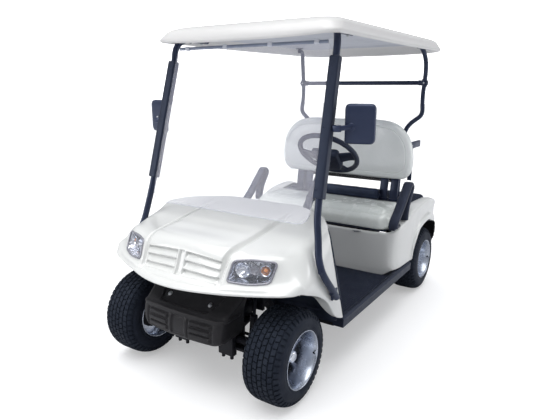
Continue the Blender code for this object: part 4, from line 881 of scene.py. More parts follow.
for x, z, r, tall, mat in ((0.072, 0.633, 0.016, 0.007, 0), (0.000, 0.633, 0.020, 0.006, 0), (-0.072, 0.633, 0.016, 0.007, 0)):
    p, n = on_dash(x, z)
    controls.add(turned(p, n, [(0, 0), (0, r), (tall * .6, r), (tall, r * .86), (tall, r * .6), (tall * .7, r * .55), (tall * .7, 0)], 32), mat)
p, n = on_dash(0.072, 0.633)
controls.add(block(p + n * 0.010 - np.array((.002, .006, .009)), p + n * 0.010 + np.array((.002, .006, .009)), 0.001), 1)
p, n = on_dash(-0.072, 0.633)
controls.add(block(p + n * 0.008 - np.array((.006, .006, .011)), p + n * 0.008 + np.array((.006, .006, .011)), 0.002), 0)
p, n = on_dash(0.0, 0.633)
controls.add(turned(p, n, [(.004, 0), (.004, .013), (.0065, .0125), (.0065, 0)], 32), 1)
controls.make("dash_controls", [PLASTIC, STEEL], "frame", "trim_black")

# ====================================================== floor, mat and pedals
mat_piece = Shape()
mat_piece.add(block((-0.530, -0.480, FLOOR_TOP + 0.0003), (0.530, 0.236, FLOOR_TOP + 0.003), 0.001, 1))
for k in range(84):
    x = -0.520 + k * 0.01253
    mat_piece.add(bar((x, -0.470, FLOOR_TOP + 0.0038), (x, 0.228, FLOOR_TOP + 0.0038), 0.0068, 0.0034, bevel=0.0009, segments=1))
mat_piece.make("floor_mat", MAT_RUBBER, "frame", "floor_mat")
sill = Shape()
for s in (1, -1):
    for k in range(4):
        x = s * (0.5555 + 0.0035 * k * 1.15)
        sill.add(bar((x, -0.470, SILL_TOP + 0.0012), (x, 0.236, SILL_TOP + 0.0012), 0.0020, 0.0024, bevel=0.0006, segments=1))
sill.make("sill_ribs", PLASTIC, "frame", "trim_black")
pads = Shape()
for a, b, w in (((0.215, -0.4345, 0.3590), (0.215, -0.3930, 0.4240), 0.106), ((0.320, -0.4400, 0.3400), (0.320, -0.3925, 0.4240), 0.056)):
    a, b = np.array(a), np.array(b)
    n = unit(np.cross(b - a, (1, 0, 0)))
    n = n if n[1] > 0 else -n
    pads.add(bar(a + n * .0025, b + n * .0025, w, 0.004, bevel=0.0015))
    for k in range(7):
        q = a + (b - a) * (0.10 + 0.80 * k / 6) + n * 0.0055
        pads.add(bar(q - np.array((w * .44, 0, 0)), q + np.array((w * .44, 0, 0)), 0.0030, 0.0045, side=(0, 0, 1), bevel=0.0008, segments=1))
pads.make("pedal_pads", MAT_RUBBER, "frame", "floor_mat")

# ================================================================== rear body
REAR = np.array([  # x, y, outward normal x, y, top z, bottom z, inner flange
    (0.000, 0.245, 0.0, -1.0, 0.543, 0.274, 0.030), (0.300, 0.245, 0.0, -1.0, 0.543, 0.274, 0.030),
    (0.480, 0.246, 0.0, -1.0, 0.547, 0.276, 0.032), (0.541, 0.264, 0.7, -0.7, 0.560, 0.308, 0.040),
    (0.565, 0.310, 1.0, -0.1, 0.582, 0.312, 0.056), (0.574, 0.400, 1.0, 0.0, 0.610, 0.312, 0.066),
    (0.580, 0.520, 1.0, 0.0, 0.650, 0.312, 0.072), (0.586, 0.580, 1.0, 0.0, 0.662, 0.440, 0.078),
    (0.588, 0.650, 1.0, 0.0, 0.672, 0.508, 0.080), (0.590, 0.800, 1.0, 0.0, 0.680, 0.528, 0.066),
    (0.586, 0.930, 1.0, 0.1, 0.652, 0.492, 0.060), (0.565, 1.030, 0.8, 0.6, 0.612, 0.466, 0.066),
    (0.500, 1.085, 0.3, 1.0, 0.590, 0.464, 0.060), (0.300, 1.100, 0.0, 1.0, 0.585, 0.464, 0.055),
    (0.000, 1.104, 0.0, 1.0, 0.585, 0.464, 0.055)])


def gentle(x, y, at):
    """A curve through the points that never overshoots them."""
    h, d = np.diff(x), np.diff(y) / np.diff(x)
    m = np.zeros(len(x))
    for i in range(1, len(x) - 1):
        if d[i - 1] * d[i] > 0:
            w1, w2 = 2 * h[i] + h[i - 1], h[i] + 2 * h[i - 1]
            m[i] = (w1 + w2) / (w1 / d[i - 1] + w2 / d[i])
    k = np.clip(np.searchsorted(x, at, side="right") - 1, 0, len(x) - 2)
    t, hk = (at - x[k]) / h[k], h[k]
    return ((1 + 2 * t) * (1 - t) ** 2 * y[k] + t * (1 - t) ** 2 * hk * m[k] + t * t * (3 - 2 * t) * y[k + 1]
            + t * t * (t - 1) * hk * m[k + 1])


knot = np.concatenate([[0], np.cumsum(np.hypot(np.diff(REAR[:, 0]), np.diff(REAR[:, 1])))])
dense = np.concatenate([np.linspace(a, b, n, endpoint=False) for a, b, n in
                        zip(knot, knot[1:], (24, 22, 10, 8, 10, 14, 22, 16, 16, 14, 14, 12, 18, 22))] + [[knot[-1]]])
walk = np.stack([gentle(knot, REAR[:, 0], dense), gentle(knot, REAR[:, 1], dense)], axis=1)
walk = cubic(knot, REAR[:, :2], dense) * 0.35 + walk * 0.65
walk[0, 0] = walk[-1, 0] = 0.0
facing = np.stack([-np.gradient(walk[:, 1]), np.gradient(walk[:, 0])], axis=1)
facing = -unit(facing)
facing[0], facing[-1] = (0, -1), (0, 1)
top_z, flange_w = gentle(knot, REAR[:, 4], dense), gentle(knot, REAR[:, 6], dense)
arch_x = [knot[6], knot[6] + 0.020, knot[7], knot[8], knot[9], knot[10], knot[11], knot[12]]
arch_z = [0.312, 0.372, 0.440, 0.504, 0.530, 0.496, 0.468, 0.464]
low_z = np.where(dense <= knot[6], gentle(knot[:8], np.minimum(REAR[:8, 5], 0.312), dense),
                 gentle(np.array(arch_x), np.array(arch_z), np.clip(dense, arch_x[0], arch_x[-1])))
is_arch = step(knot[6] - 0.002, knot[6] + 0.006, dense) * (1 - step(knot[11], knot[12], dense))
PROFILE_D = np.array([-1.0, -0.82, -0.60, -0.40, -0.20, -0.100, -0.045, -0.010, 0.0])   # share of the flange
PROFILE_H = np.array([-0.010, -0.0045, -0.0015, 0.0, -0.0008, -0.0022, -0.0048, -0.0090, -0.0160])
sections = []
for k in range(len(dense)):
    n = facing[k]
    rows_k = []
    for d, h in zip(PROFILE_D, PROFILE_H):
        q = walk[k] + n * d * flange_w[k]
        rows_k.append((q[0], q[1], top_z[k] + h))
    start = top_z[k] + PROFILE_H[-1]
    drop = start - low_z[k]
    for t in np.linspace(0, 1, 31)[1:]:
        z = start - drop * t
        inn = -0.0045 * math.sin(min(t * 1.15, 1) * math.pi) - 0.004 * t
        above = z - low_z[k]
        flare = 0.0085 * is_arch[k] * (1 - step(0.028, 0.052, above))
        q = walk[k] + n * (inn + flare)
        rows_k.append((q[0], q[1], z))
    lip = 0.006 + 0.038 * is_arch[k]
    q = np.array(rows_k[-1])
    inward = np.array((-n[0], -n[1], 0))
    for a in (0.4, 0.8, 1.2, math.pi / 2):
        rows_k.append(tuple(q + inward * 0.006 * (1 - math.cos(a)) - np.array((0, 0, 0.006 * math.sin(a)))))
    q = np.array(rows_k[-1])
    for t in (0.25, 0.5, 0.75, 1.0):
        rows_k.append(tuple(q + inward * lip * t))
    sections.append(rows_k)
R = np.array(sections).transpose(1, 0, 2)
R[:, 0, 0] = R[:, -1, 0] = 0.0
other = R[:, 1:-1][:, ::-1].copy()
other[..., 0] *= -1
R = np.concatenate([R, other], axis=1)
rear = Shape().add((R.reshape(-1, 3), grid_faces(R.shape[0], R.shape[1], wrap_cols=True)))
rear.make("rear_body_shell", BODY, "frame", "body_gloss", ["rear_body"], angle=48, shell=0.0035, offset=-1)
latch = Shape()
latch.add(block((0.276, 0.2380, 0.5345), (0.334, 0.2442, 0.5385), 0.0012))
latch.add(block((0.288, 0.2352, 0.5290), (0.322, 0.2385, 0.5350), 0.0012))
latch.make("seat_latch", [STEEL], "frame", "alloy")

# bag deck: a ribbed mat on the deck
deck = Shape()
for k in range(40):
    y = 0.700 + k * 0.0076
    if y > 0.996:
        break
    w = np.interp(y, [0.640, 0.800, 0.920, 0.985, 1.010], [0.490, 0.512, 0.512, 0.480, 0.400]) - 0.008
    if y < 0.716:
        runs = [(-0.270, 0.270), (0.405, w), (-w, -0.405)]
    elif 0.727 < y < 0.793:
        runs = [(-0.345, 0.345), (0.405, w), (-w, -0.405)]
    else:
        runs = [(-w, w)]
    for x0, x1 in runs:
        deck.add(bar((x0, y, 0.6592), (x1, y, 0.6592), 0.0042, 0.0030, side=(0, 1, 0), bevel=0.0008, segments=1))
deck.make("deck_ribs", MAT_RUBBER, "frame", "floor_mat")

# battery tops under the seat
tops = Shape()
for k in range(6):
    x0 = -0.296 + k * 0.0990
    tops.add(block((x0, 0.290, 0.4995), (x0 + 0.094, 0.495, 0.5035), 0.0015), 0)
    for j in range(3):
        tops.add(turned((x0 + 0.047, 0.330 + j * 0.062, 0.503), (0, 0, 1), [(0, 0), (0, .016), (.005, .015), (.007, .011), (.007, 0)], 20), 1)
    for y, s in ((0.303, 1), (0.480, -1)):
        tops.add(turned((x0 + 0.020, y, 0.503), (0, 0, 1), [(0, 0), (0, .009), (.010, .008), (.011, 0)], 16), 2)
tops.make("battery_tops", [CASE, CAP, STEEL], "frame", "battery")

# ============================================================ seat and backs
def rounded_plan(half, y0, y1, radius, n=14, long=26, short=12):
    """Points round a rectangle with round corners, counterclockwise from the +x side, with outward normals."""
    arcs = []
    for cx, cy, start in ((half - radius, y1 - radius, 0), (radius - half, y1 - radius, 90),
                          (radius - half, y0 + radius, 180), (half - radius, y0 + radius, 270)):
        a = np.radians(np.linspace(start, start + 90, n + 1))
        out = np.stack([np.cos(a), np.sin(a)], axis=1)
        arcs.append((np.array((cx, cy)) + radius * out, out))
    pts, nrm = [], []
    for i, (p, q) in enumerate(arcs):
        after = arcs[(i + 1) % 4][0][0]
        m = long if i % 2 == 0 else short
        t = np.linspace(0, 1, m + 1)[1:-1, None]
        pts += [p, p[-1] * (1 - t) + after * t]
        nrm += [q, np.repeat(q[-1:], m - 1, 0)]
    return np.concatenate(pts), np.concatenate(nrm)


def wobble(P, size, seed=0.0):
    """Smooth unevenness, the same every time."""
    x, y, z = P[..., 0] * size + seed, P[..., 1] * size + seed * 1.7, P[..., 2] * size + seed * 0.3
    return (np.sin(x * 1.7 + 2.1 * np.sin(y * 1.3 + 0.7)) * np.cos(y * 1.9 + 1.3 * np.sin(z * 1.1 + x * 0.6))
            + 0.5 * np.sin(x * 3.9 + y * 2.3 + 1.1) * np.cos(z * 3.1 - y * 1.7)) / 1.5


plan, plan_n = rounded_plan(0.500, 0.250, 0.602, 0.072)
front = np.clip(-plan_n[:, 1], 0, 1)
end = np.abs(plan_n[:, 0])
SEAT = [  # inset from the outline, height, how much the front drops
    (0.170, 0.5612, 0.0), (0.080, 0.5606, 0.0), (0.022, 0.5604, 0.0), (0.009, 0.5620, 0.0), (0.002, 0.5690, 0.0),
    (-0.002, 0.5850, 0.0), (-0.003, 0.6050, 0.0), (-0.001, 0.6230, 0.002), (0.003, 0.6370, 0.005), (0.010, 0.6500, 0.009),
    (0.0185, 0.6600, 0.012), (0.0240, 0.6640, 0.014), (0.0275, 0.6630, 0.0145), (0.0310, 0.6660, 0.0145),
    (0.0380, 0.6735, 0.0140), (0.0520, 0.6800, 0.0120), (0.0750, 0.6840, 0.0085), (0.1050, 0.6855, 0.0050), (0.1400, 0.6850, 0.002),
    (0.1640, 0.6845, 0.0)]
seat_rings = []
for inset, z, drop in SEAT:
    xy, _ = rounded_plan(0.500 - inset, 0.250 + inset, 0.602 - inset, max(0.072 - inset, 0.006))
    seat_rings.append(np.column_stack([xy, np.full(len(xy), z) - drop * front]))
seat_P = np.array(seat_rings)
fine_rings = np.concatenate([np.linspace(0, 2, 6, endpoint=False), np.linspace(2, 10, 26, endpoint=False),
                             np.linspace(10, 14, 22, endpoint=False), np.linspace(14, len(SEAT) - 1, 18)])
seat_P = along(seat_P, fine_rings)
lift = step(0.600, 0.680, seat_P[..., 2])
sag = np.exp(-(((np.abs(seat_P[..., 0]) - 0.235) / 0.15) ** 2 + ((seat_P[..., 1] - 0.45) / 0.11) ** 2))
seat_P[..., 2] += lift * (-0.0055 * sag + 0.0016 * wobble(seat_P, 16.0, 0.4) + 0.0007 * wobble(seat_P, 60.0, 2.2))
seat_P[..., 2] = np.minimum(seat_P[..., 2], 0.6895)
side_zone = step(0.566, 0.580, seat_P[..., 2]) * (1 - step(0.655, 0.668, seat_P[..., 2]))
seat_P[..., :2] += plan_n[None] * (side_zone * 0.0015 * wobble(seat_P, 34.0, 5.0))[..., None]


def close_ends(shape, n, rings):
    """Fills the first and the last ring of a closed sheet."""
    for start in (0, (rings - 1) * n):
        shape.f.append(tuple(range(start, start + n)))
        shape.m.append(0)


seat = Shape()
seat.add((seat_P.reshape(-1, 3), grid_faces(seat_P.shape[0], seat_P.shape[1], wrap_cols=True)))
close_ends(seat, seat_P.shape[1], seat_P.shape[0])
seat_piece = seat.make("seat_cushion_cover", VINYL, "seat_lid", "seat_vinyl", ["seat_cushion"], angle=60)
seam = Shape()
seam_xy, _ = rounded_plan(0.500 - 0.0275, 0.250 + 0.0275, 0.602 - 0.0275, 0.072 - 0.0275)
seam_ring = np.column_stack([seam_xy, 0.6634 - 0.0145 * front])
seam.add(pipe(seam_ring, 0.0017, 8, closed=True))
seam.make("seat_seam", PIPING, "seat_lid", "seat_vinyl")
gasket_xy, _ = rounded_plan(0.500 - 0.011, 0.250 + 0.011, 0.602 - 0.011, 0.072 - 0.011)
gasket = Shape().add(pipe([(a, b, 0.5556) for a, b in gasket_xy], 0.0042, 10, closed=True))
gasket.make("seat_gasket", SOFT_GRIP, "seat_lid", "trim_black")

BACK = [(0.400, 0.818), (0.4515, 0.826), (0.485, 0.855), (0.500, 0.900), (0.5016, 0.970), (0.490, 1.040),
        (0.465, 1.100), (0.424, 1.150), (0.385, 1.178), (0.320, 1.200), (0.120, 1.207)]
LEAN = math.radians(2.0)
edge_line = [(x, z) for x, z in BACK] + [(0.0, 1.2075)] + [(-x, z) for x, z in reversed(BACK)] + [(0.0, 0.818)]
ring_pts = np.array(edge_line + edge_line[:1], float)
ring_pts = np.column_stack([ring_pts, np.zeros(len(ring_pts))])
loop = along(np.concatenate([ring_pts[-4:-1], ring_pts, ring_pts[1:4]]), np.linspace(3, 3 + len(ring_pts) - 1, 1200))
d = np.concatenate([[0], np.cumsum(np.linalg.norm(np.diff(loop, axis=0), axis=1))])
t = np.linspace(0, d[-1], 189)[:-1]
loop = np.stack([np.interp(t, d, loop[:, i]) for i in range(2)], axis=1)
tang = unit(np.roll(loop, -1, 0) - np.roll(loop, 1, 0))
loop_n = np.column_stack([tang[:, 1], -tang[:, 0]])
if (loop_n * (loop - np.array((0, 1.0)))).sum() < 0:
    loop_n = -loop_n


def in_from_edge(inset):
    """The outline moved inwards, kept smooth at its corners."""
    c = np.array((0, 1.0125))
    half = np.array((0.5016, 0.1945))
    q = (loop - c) / half
    return c + q * (half - inset)


BACK_PROFILE = [  # inset, y before leaning
    (0.150, 0.6900), (0.080, 0.6900), (0.030, 0.6895), (0.012, 0.6870), (0.003, 0.6800), (-0.001, 0.6680),
    (-0.001, 0.6540), (0.003, 0.6420), (0.010, 0.6320), (0.020, 0.6250), (0.0300, 0.6212), (0.0355, 0.6200),
    (0.0385, 0.6222), (0.0415, 0.6192), (0.050, 0.6160), (0.070, 0.6135), (0.100, 0.6125), (0.130, 0.6125), (0.150, 0.6125)]
back_rings = []
for inset, y in BACK_PROFILE:
    xz = in_from_edge(inset)
    back_rings.append(np.column_stack([xz[:, 0], np.full(len(xz), y), xz[:, 1]]))
back_P = along(np.array(back_rings), np.concatenate([np.linspace(0, 9, 30, endpoint=False), np.linspace(9, 14, 28, endpoint=False),
                                                     np.linspace(14, len(BACK_PROFILE) - 1, 14)]))
fore = step(0.640, 0.618, back_P[..., 1])
back_P[..., 1] += fore * (0.0014 * wobble(back_P, 13.0, 3.3) + 0.0006 * wobble(back_P, 52.0, 1.0))
lean = np.array([[1, 0, 0], [0, math.cos(LEAN), math.sin(LEAN)], [0, -math.sin(LEAN), math.cos(LEAN)]])
pivot = np.array((0, 0.622, 0.822))
back_P = (back_P - pivot) @ lean.T + pivot
back = Shape()
back.add((back_P.reshape(-1, 3), grid_faces(back_P.shape[0], back_P.shape[1], wrap_cols=True)))
close_ends(back, back_P.shape[1], back_P.shape[0])
back_piece = back.make("backrest_cover", VINYL_BACK, "frame", "seat_vinyl", ["backrest"], angle=60)

# hip pad: a soft black bolster
hp = []
pad_plan, pad_n = rounded_plan(0.280, 0.622, 0.664, 0.018, 8, 30, 6)
for inset, z in ((0.012, 0.6640), (0.004, 0.6655), (0.0005, 0.6700), (0.0, 0.683), (-0.0005, 0.698), (0.0, 0.712), (0.002, 0.7245),
                 (0.006, 0.7310), (0.011, 0.7345), (0.015, 0.7350)):
    xy = pad_plan - pad_n * inset
    hp.append(np.column_stack([xy, np.full(len(xy), z)]))
hp = along(np.array(hp), np.linspace(0, 9, 34))
hp[..., 2] += step(0.69, 0.735, hp[..., 2]) * 0.0010 * wobble(hp, 24.0, 1.4)
hip = Shape()
hip.add(([p for ring in hp for p in ring], grid_faces(len(hp), hp.shape[1], wrap_cols=True)))
close_ends(hip, hp.shape[1], len(hp))
for s in (1, -1):
    hip.add(bar((s * 0.258, 0.655, 0.684), (s * 0.286, 0.674, 0.684), 0.024, 0.006, side=(0, 0, 1)), 1)
hip_piece = hip.make("hip_bolster", [PAD, POWDER], "frame", "trim_black", ["hip_pad"], angle=55)

# ------------------------------------------------------------- backrest frame
UPRIGHT = [(0.7118, 1.100), (0.7070, 0.960), (0.7026, 0.840), (0.7016, 0.798), (0.6900, 0.740), (0.6840, 0.671)]
bf = Shape()
for x in (0.300, 0.375):  # flat bars behind the backrest
    bf.add(pipe(path([(x, y, z) for y, z in UPRIGHT], 60), 1.0, up=(1.0, 0, 0), section=box_section(0.020, 0.055, 0.0045)))
    bf.add(block((x - 0.0305, 0.668, 0.6584), (x + 0.0305, 0.712, 0.6720), 0.0020))
    for q in (x - 0.0175, x + 0.0175):
        bf.add(hexagon((q, 0.7030, 0.6720), (0, 0, 1), 0.0045, 0.0040), 1)
    for z in (0.900, 1.060):
        bf.add(dome_bolt((x, np.interp(z, [0.84, 0.96, 1.10], [0.7026, 0.7070, 0.7118]) + 0.0098, z), (0, 1, 0), 0.0065, 0.0035), 1)
side_strap = path([(0.46775, 0.718, 1.030), (0.46775, 0.722, 0.950), (0.46775, 0.720, 0.880), (0.46775, 0.716, 0.805)], 50)
bf.add(pipe(side_strap, 1.0, up=(1.0, 0, 0), section=box_section(0.010, 0.0285, 0.0030)))
bf.add(block((0.452, 0.711, 1.018), (0.470, 0.905, 1.062), 0.0035, 3))
bf.add(dome_bolt((0.4702, 0.735, 1.040), (1, 0, 0), 0.006, 0.003), 1)
bf.both()
bf.add(block((-0.460, 0.7125, 1.024), (0.460, 0.7245, 1.056), 0.0025))
bf.make("backrest_frame_tubes", [POWDER, STEEL], "frame", "frame_black", ["backrest_frame"])

# ------------------------------------------------------------ sweater basket
basket = Shape()
x1, y0b, y1b, z0b, z1b = 0.343, 0.750, 0.923, 0.7715, 0.9035
def loop_at(z, grow, r, closed=True):
    pl, _ = rounded_plan(x1 + grow, y0b - grow, y1b + grow, 0.022, 6, 12, 6)
    basket.add(pipe([(a, b, z) for a, b in pl], r, 10, closed=True))
loop_at(z1b - 0.004, -0.004, 0.0042)
loop_at(z0b + 0.003, -0.004, 0.0032)
for z in np.linspace(z0b + 0.016, z1b - 0.014, 12):
    pl, _ = rounded_plan(x1 - 0.004, y0b + 0.004, y1b - 0.004, 0.022, 4, 10, 5)
    basket.add(pipe([(a, b, z) for a, b in pl], 0.0016, 5, closed=True))
for x in np.linspace(-x1 + 0.014, x1 - 0.014, 64):
    pts = [(x, y0b + 0.004, z1b - 0.006), (x, y0b + 0.004, z0b + 0.006), (x, y0b + 0.008, z0b + 0.0025), (x, y1b - 0.008, z0b + 0.0025),
           (x, y1b - 0.004, z0b + 0.006), (x, y1b - 0.004, z1b - 0.006)]
    basket.add(pipe(pts, 0.0015, 5))
for y in np.linspace(y0b + 0.016, y1b - 0.016, 10):
    pts = [(-x1 + 0.004, y, z1b - 0.006), (-x1 + 0.004, y, z0b + 0.006), (-x1 + 0.008, y, z0b + 0.0045), (x1 - 0.008, y, z0b + 0.0045),
           (x1 - 0.004, y, z0b + 0.006), (x1 - 0.004, y, z1b - 0.006)]
    basket.add(pipe(pts, 0.0015, 5))
for s in (1, -1):
    basket.add(bar((s * 0.362, 0.710, 0.860), (s * 0.335, 0.752, 0.860), 0.018, 0.003, side=(0, 0, 1)), 1)
basket.make("basket_wires", [WIRE, POWDER], "frame", "trim_black", ["sweater_basket"], recalc=False, angle=60)

# ----------------------------------------------------------------- armrests
ARM = [(0.207, 0.598), (0.216, 0.622), (0.262, 0.664), (0.322, 0.716), (0.380, 0.772), (0.422, 0.812), (0.448, 0.829), (0.469, 0.815),
       (0.455, 0.776), (0.422, 0.732), (0.401, 0.690), (0.390, 0.650), (0.388, 0.6130)]
arm = Shape()
arm.add(pipe(path([(0.557, y, z) for y, z in ARM], 120), 1.0, up=(1.0, 0, 0), section=box_section(0.031, 0.060, 0.0140, 6)))
arm.add(block((0.533, 0.196, 0.584), (0.571, 0.306, 0.604), 0.0060, 3))
pair(arm, "armrest_grip", [SOFT_GRIP], "trim_black", "armrest", angle=50)

# ============================================================== posts, glass
POST = [(0.462, -0.250, 1.683), (0.464, -0.360, 1.683), (0.478, -0.436, 1.672), (0.496, -0.470, 1.636)]
POST += [tuple(post_at(z)) for z in (1.585, 1.250, 0.937)]
POST += [(0.534, -0.695, 0.830), (0.548, -0.711, 0.755), (0.562, -0.729, 0.688), (0.585, -0.740, 0.628), (0.599, -0.706, 0.564),
         (0.602, -0.640, 0.487), (0.602, -0.622, 0.466)]
line = path(POST, 170)
post = Shape()
flat = step(0.580, 0.555, line[:, 2])
frames = transported(line)
verts, m = [], 22
for (q, s, u), f in zip(frames, flat):
    for k in range(m):
        a = 2 * math.pi * k / m
        off = s * math.cos(a) * 0.0168 + u * math.sin(a) * 0.0168
        off[0] = max(off[0], -0.0168 + 0.0033 * f)
        verts.append(q + off)
post.add((verts, grid_faces(len(line), m, wrap_cols=True) + [tuple(range(m)), tuple(range((len(line) - 1) * m, len(line) * m))]))


ahead = np.array((0, -math.cos(RAKE), math.sin(RAKE)))
z_line = np.array([0.9370, 0.9385, 0.9410, 0.9450, 1.0, 1.1, 1.2, 1.3, 1.4, 1.5, 1.551, 1.555, 1.5575, 1.5590])
size = np.array([0.90, 0.955, 0.985, 1.0, 1.0, 1.0, 1.0, 1.0, 1.0, 1.0, 1.0, 0.985, 0.955, 0.90])
post.add(pipe([post_at(z) for z in z_line], size, up=ahead, section=box_section(0.050, 0.044, 0.009)), 1)
for z in (0.975, 1.245, 1.515):  # screws that hold the glass clips
    post.add(dome_bolt(post_at(z, 0.0218) + np.array((-0.012, 0, 0)), ahead, 0.0055, 0.0028), 1)
post.add(hexagon((0.5880, -0.7555, 0.6270), (0.20, -0.97, -0.15), 0.0080, 0.0065), 0)
post.add(hexagon((0.6025, -0.6722, 0.4995), (0.20, -0.76, -0.65), 0.0080, 0.0065), 0)
post.add(block((0.5865, -0.648, 0.455), (0.5955, -0.598, 0.505), 0.002), 0)
pair(post, "post", [POWDER, PLASTIC, STEEL], "frame_black", "front_post")

head = Shape()
hz = 1.6230
hp0 = post_at(hz, 0.010)
head.add(pipe([(x, hp0[1], hp0[2]) for x in np.linspace(-0.456, 0.456, 12)], 1.0, up=np.array(ahead),
              section=box_section(0.0155, 0.0120, 0.0045)), 0)
for x in (-0.400, -0.14, 0.14, 0.400):
    c = np.array((x, hp0[1], hp0[2]))
    head.add(bar(c - ahead * 0.010, c + ahead * 0.0095, 0.026, 0.020, bevel=0.003), 1)
head.make("windshield_fittings", [HEADER, UNDER], "frame", "windshield")
low_edge = Shape()
GL = np.array([post_at(0.815, 0.010), post_at(1.628, 0.010)])
glass_len = np.linalg.norm(GL[1] - GL[0])
up_dir = (GL[1] - GL[0]) / glass_len
up_dir[0] = 0
up_dir = unit(up_dir)
outline = [(0.495, 0.050), (0.484, 0.024), (0.462, 0.006), (0.430, 0.0)]
edge_pts = [(x, s) for x, s in outline] + [(-x, s) for x, s in reversed(outline)]
base_pt = np.array((0, GL[0][1], GL[0][2]))
low_edge.add(pipe([base_pt + np.array((x, 0, 0)) + up_dir * s for x, s in edge_pts], 0.0027, 10))
low_edge.make("windshield_lower_edge", GLASS_EDGE, "frame", "windshield")

# ------------------------------------------------------------------- mirrors
flat_mir = Shape()
outline = np.array(rounded_outline([(0.0, 1.172), (0.140, 1.172), (0.140, 1.353), (0.0, 1.353)], [0.010, 0.028, 0.028, 0.026], 7))
centre = outline.mean(axis=0)
rings = []
for y, s in ((-0.0160, 0.55), (-0.0158, 0.80), (-0.0145, 0.90), (-0.0110, 0.955), (-0.0050, 0.985), (0.0030, 1.0), (0.0100, 1.0),
             (0.0135, 0.992), (0.0155, 0.975), (0.0155, 0.945), (0.0135, 0.935)):
    ring = centre + (outline - centre) * s
    rings.append([(x, y, z) for x, z in ring])
flat_mir.add(stacked(rings), 0)
rings = []
for y, s in ((0.0128, 0.90), (0.0140, 0.936), (0.0145, 0.930), (0.0150, 0.80), (0.0152, 0.4)):
    ring = centre + (outline - centre) * s
    rings.append([(x, y, z) for x, z in ring])
flat_mir.add(stacked(rings), 1)
mir = flat_mir.moved(Matrix.Translation((0.565, -0.512, 0.0)) @ Matrix.Rotation(math.radians(15), 4, "Z"))
grip = post_at(1.245)
mir.add(bar((grip[0] + 0.0264, grip[1] + 0.004, 1.245), (grip[0] + 0.064, grip[1] + 0.004, 1.245), 0.030, 0.026, side=(0, 0, 1), bevel=0.004), 0)
mir.add(bar((grip[0] + 0.052, grip[1], 1.245), (0.600, -0.514, 1.250), 0.022, 0.022, side=(0, 0, 1), bevel=0.005, segments=3), 0)
mir.add(turned((0.6012, -0.5170, 1.250), (0.2588, -0.9659, 0), [(-0.002, 0), (-0.002, .019), (.003, .018), (.006, .014), (.007, 0)], 24), 0)
mir.add(hexagon((grip[0] + 0.050, grip[1] + 0.004, 1.2600), (0, 0, 1), 0.0055, 0.0045), 2)
pair(mir, "mirror_shell", [MIRROR_CASE, SILVERED, STEEL], "trim_black", "mirror", angle=40)

# ======================================================================= roof
ROOF = [  # half width, front y, rear y, corner radius, z, extra height at the corners
    (0.496, -0.515, 0.965, 0.080, 1.702, 0.000), (0.507, -0.530, 0.978, 0.080, 1.692, 0.000),
    (0.520, -0.556, 1.002, 0.075, 1.655, 0.010), (0.536, -0.574, 1.020, 0.070, 1.643, 0.013),
    (0.545, -0.585, 1.030, 0.070, 1.650, 0.014), (0.539, -0.577, 1.023, 0.078, 1.678, 0.009),
    (0.523, -0.548, 1.008, 0.085, 1.711, 0.004), (0.495, -0.502, 0.986, 0.085, 1.731, 0.000),
    (0.440, -0.430, 0.930, 0.080, 1.742, 0.000), (0.250, -0.200, 0.700, 0.060, 1.752, 0.000)]


def roof_line(half, y0, y1, radius, z, lift):
    xy, _ = rounded_plan(half, y0, y1, radius, 12, 36, 44)
    mid, span = (y0 + y1) / 2, (y1 - y0) / 2
    up = lift * (np.abs(xy[:, 0]) / half) ** 3 * (np.abs(xy[:, 1] - mid) / span) ** 3
    low = step(1.672, 1.650, z) * (1 - step(1.656, 1.700, z))
    up = up + 0.011 * low * (np.abs(xy[:, 0]) / half) ** 8 * (1 - (np.abs(xy[:, 1] - mid) / span) ** 4)
    return np.column_stack([xy, z + up])


rings = np.array([roof_line(*r) for r in ROOF])
at = np.concatenate([np.linspace(0, 1, 5, endpoint=False), np.linspace(1, 6, 50, endpoint=False), np.linspace(6, 9, 24)])
shell = along(rings, at)
mid = np.array((0, 0.250))
extra = []
for s in (0.86, 0.70, 0.52, 0.34, 0.16, 0.03):
    ring = shell[-1].copy()
    ring[:, :2] = mid + (ring[:, :2] - mid) * s
    ring[:, 2] = 1.752 + 0.0012 * (1 - s * s)
    extra.append(ring)
liner = []
for s in (0.995, 0.985, 0.97, 0.95, 0.925, 0.90, 0.87, 0.84, 0.80, 0.76, 0.72, 0.68, 0.64, 0.60, 0.55, 0.50, 0.45, 0.40, 0.35, 0.30, 0.25,
          0.20, 0.15, 0.10, 0.05, 0.02):
    ring = rings[0].copy()
    c = np.array((0, 0.225))
    ring[:, :2] = c + (ring[:, :2] - c) * s
    x, y = np.abs(ring[:, 0]), ring[:, 1]
    rib = np.exp(-((x - 0.165) / 0.020) ** 2) * step(-0.40, -0.34, y) * (1 - step(0.80, 0.86, y))
    cross = sum(np.exp(-((y - q) / 0.022) ** 2) for q in (-0.18, 0.22, 0.62)) * (1 - step(0.36, 0.42, x))
    ring[:, 2] = 1.702 + 0.010 * step(1.0, 0.94, s) * 1.0 - 0.009 * np.maximum(rib, cross)
    liner.append(ring)
roof = Shape()
sheet_rings = [*liner[::-1], *shell, *extra]
count = len(sheet_rings[0])
faces = grid_faces(len(sheet_rings), count, wrap_cols=True)
roof.add(([p for r in sheet_rings for p in r], faces))
roof.m = [1 if i < (len(liner)) * count else 0 for i in range(len(roof.f))]
roof.f += [tuple(range(count)), tuple(range((len(sheet_rings) - 1) * count, len(sheet_rings) * count))]
roof.m += [1, 0]
roof_piece = roof.make("roof_canopy", [ROOF_SKIN, UNDER], "frame", "body_gloss", ["roof"], angle=50)
plates = Shape()
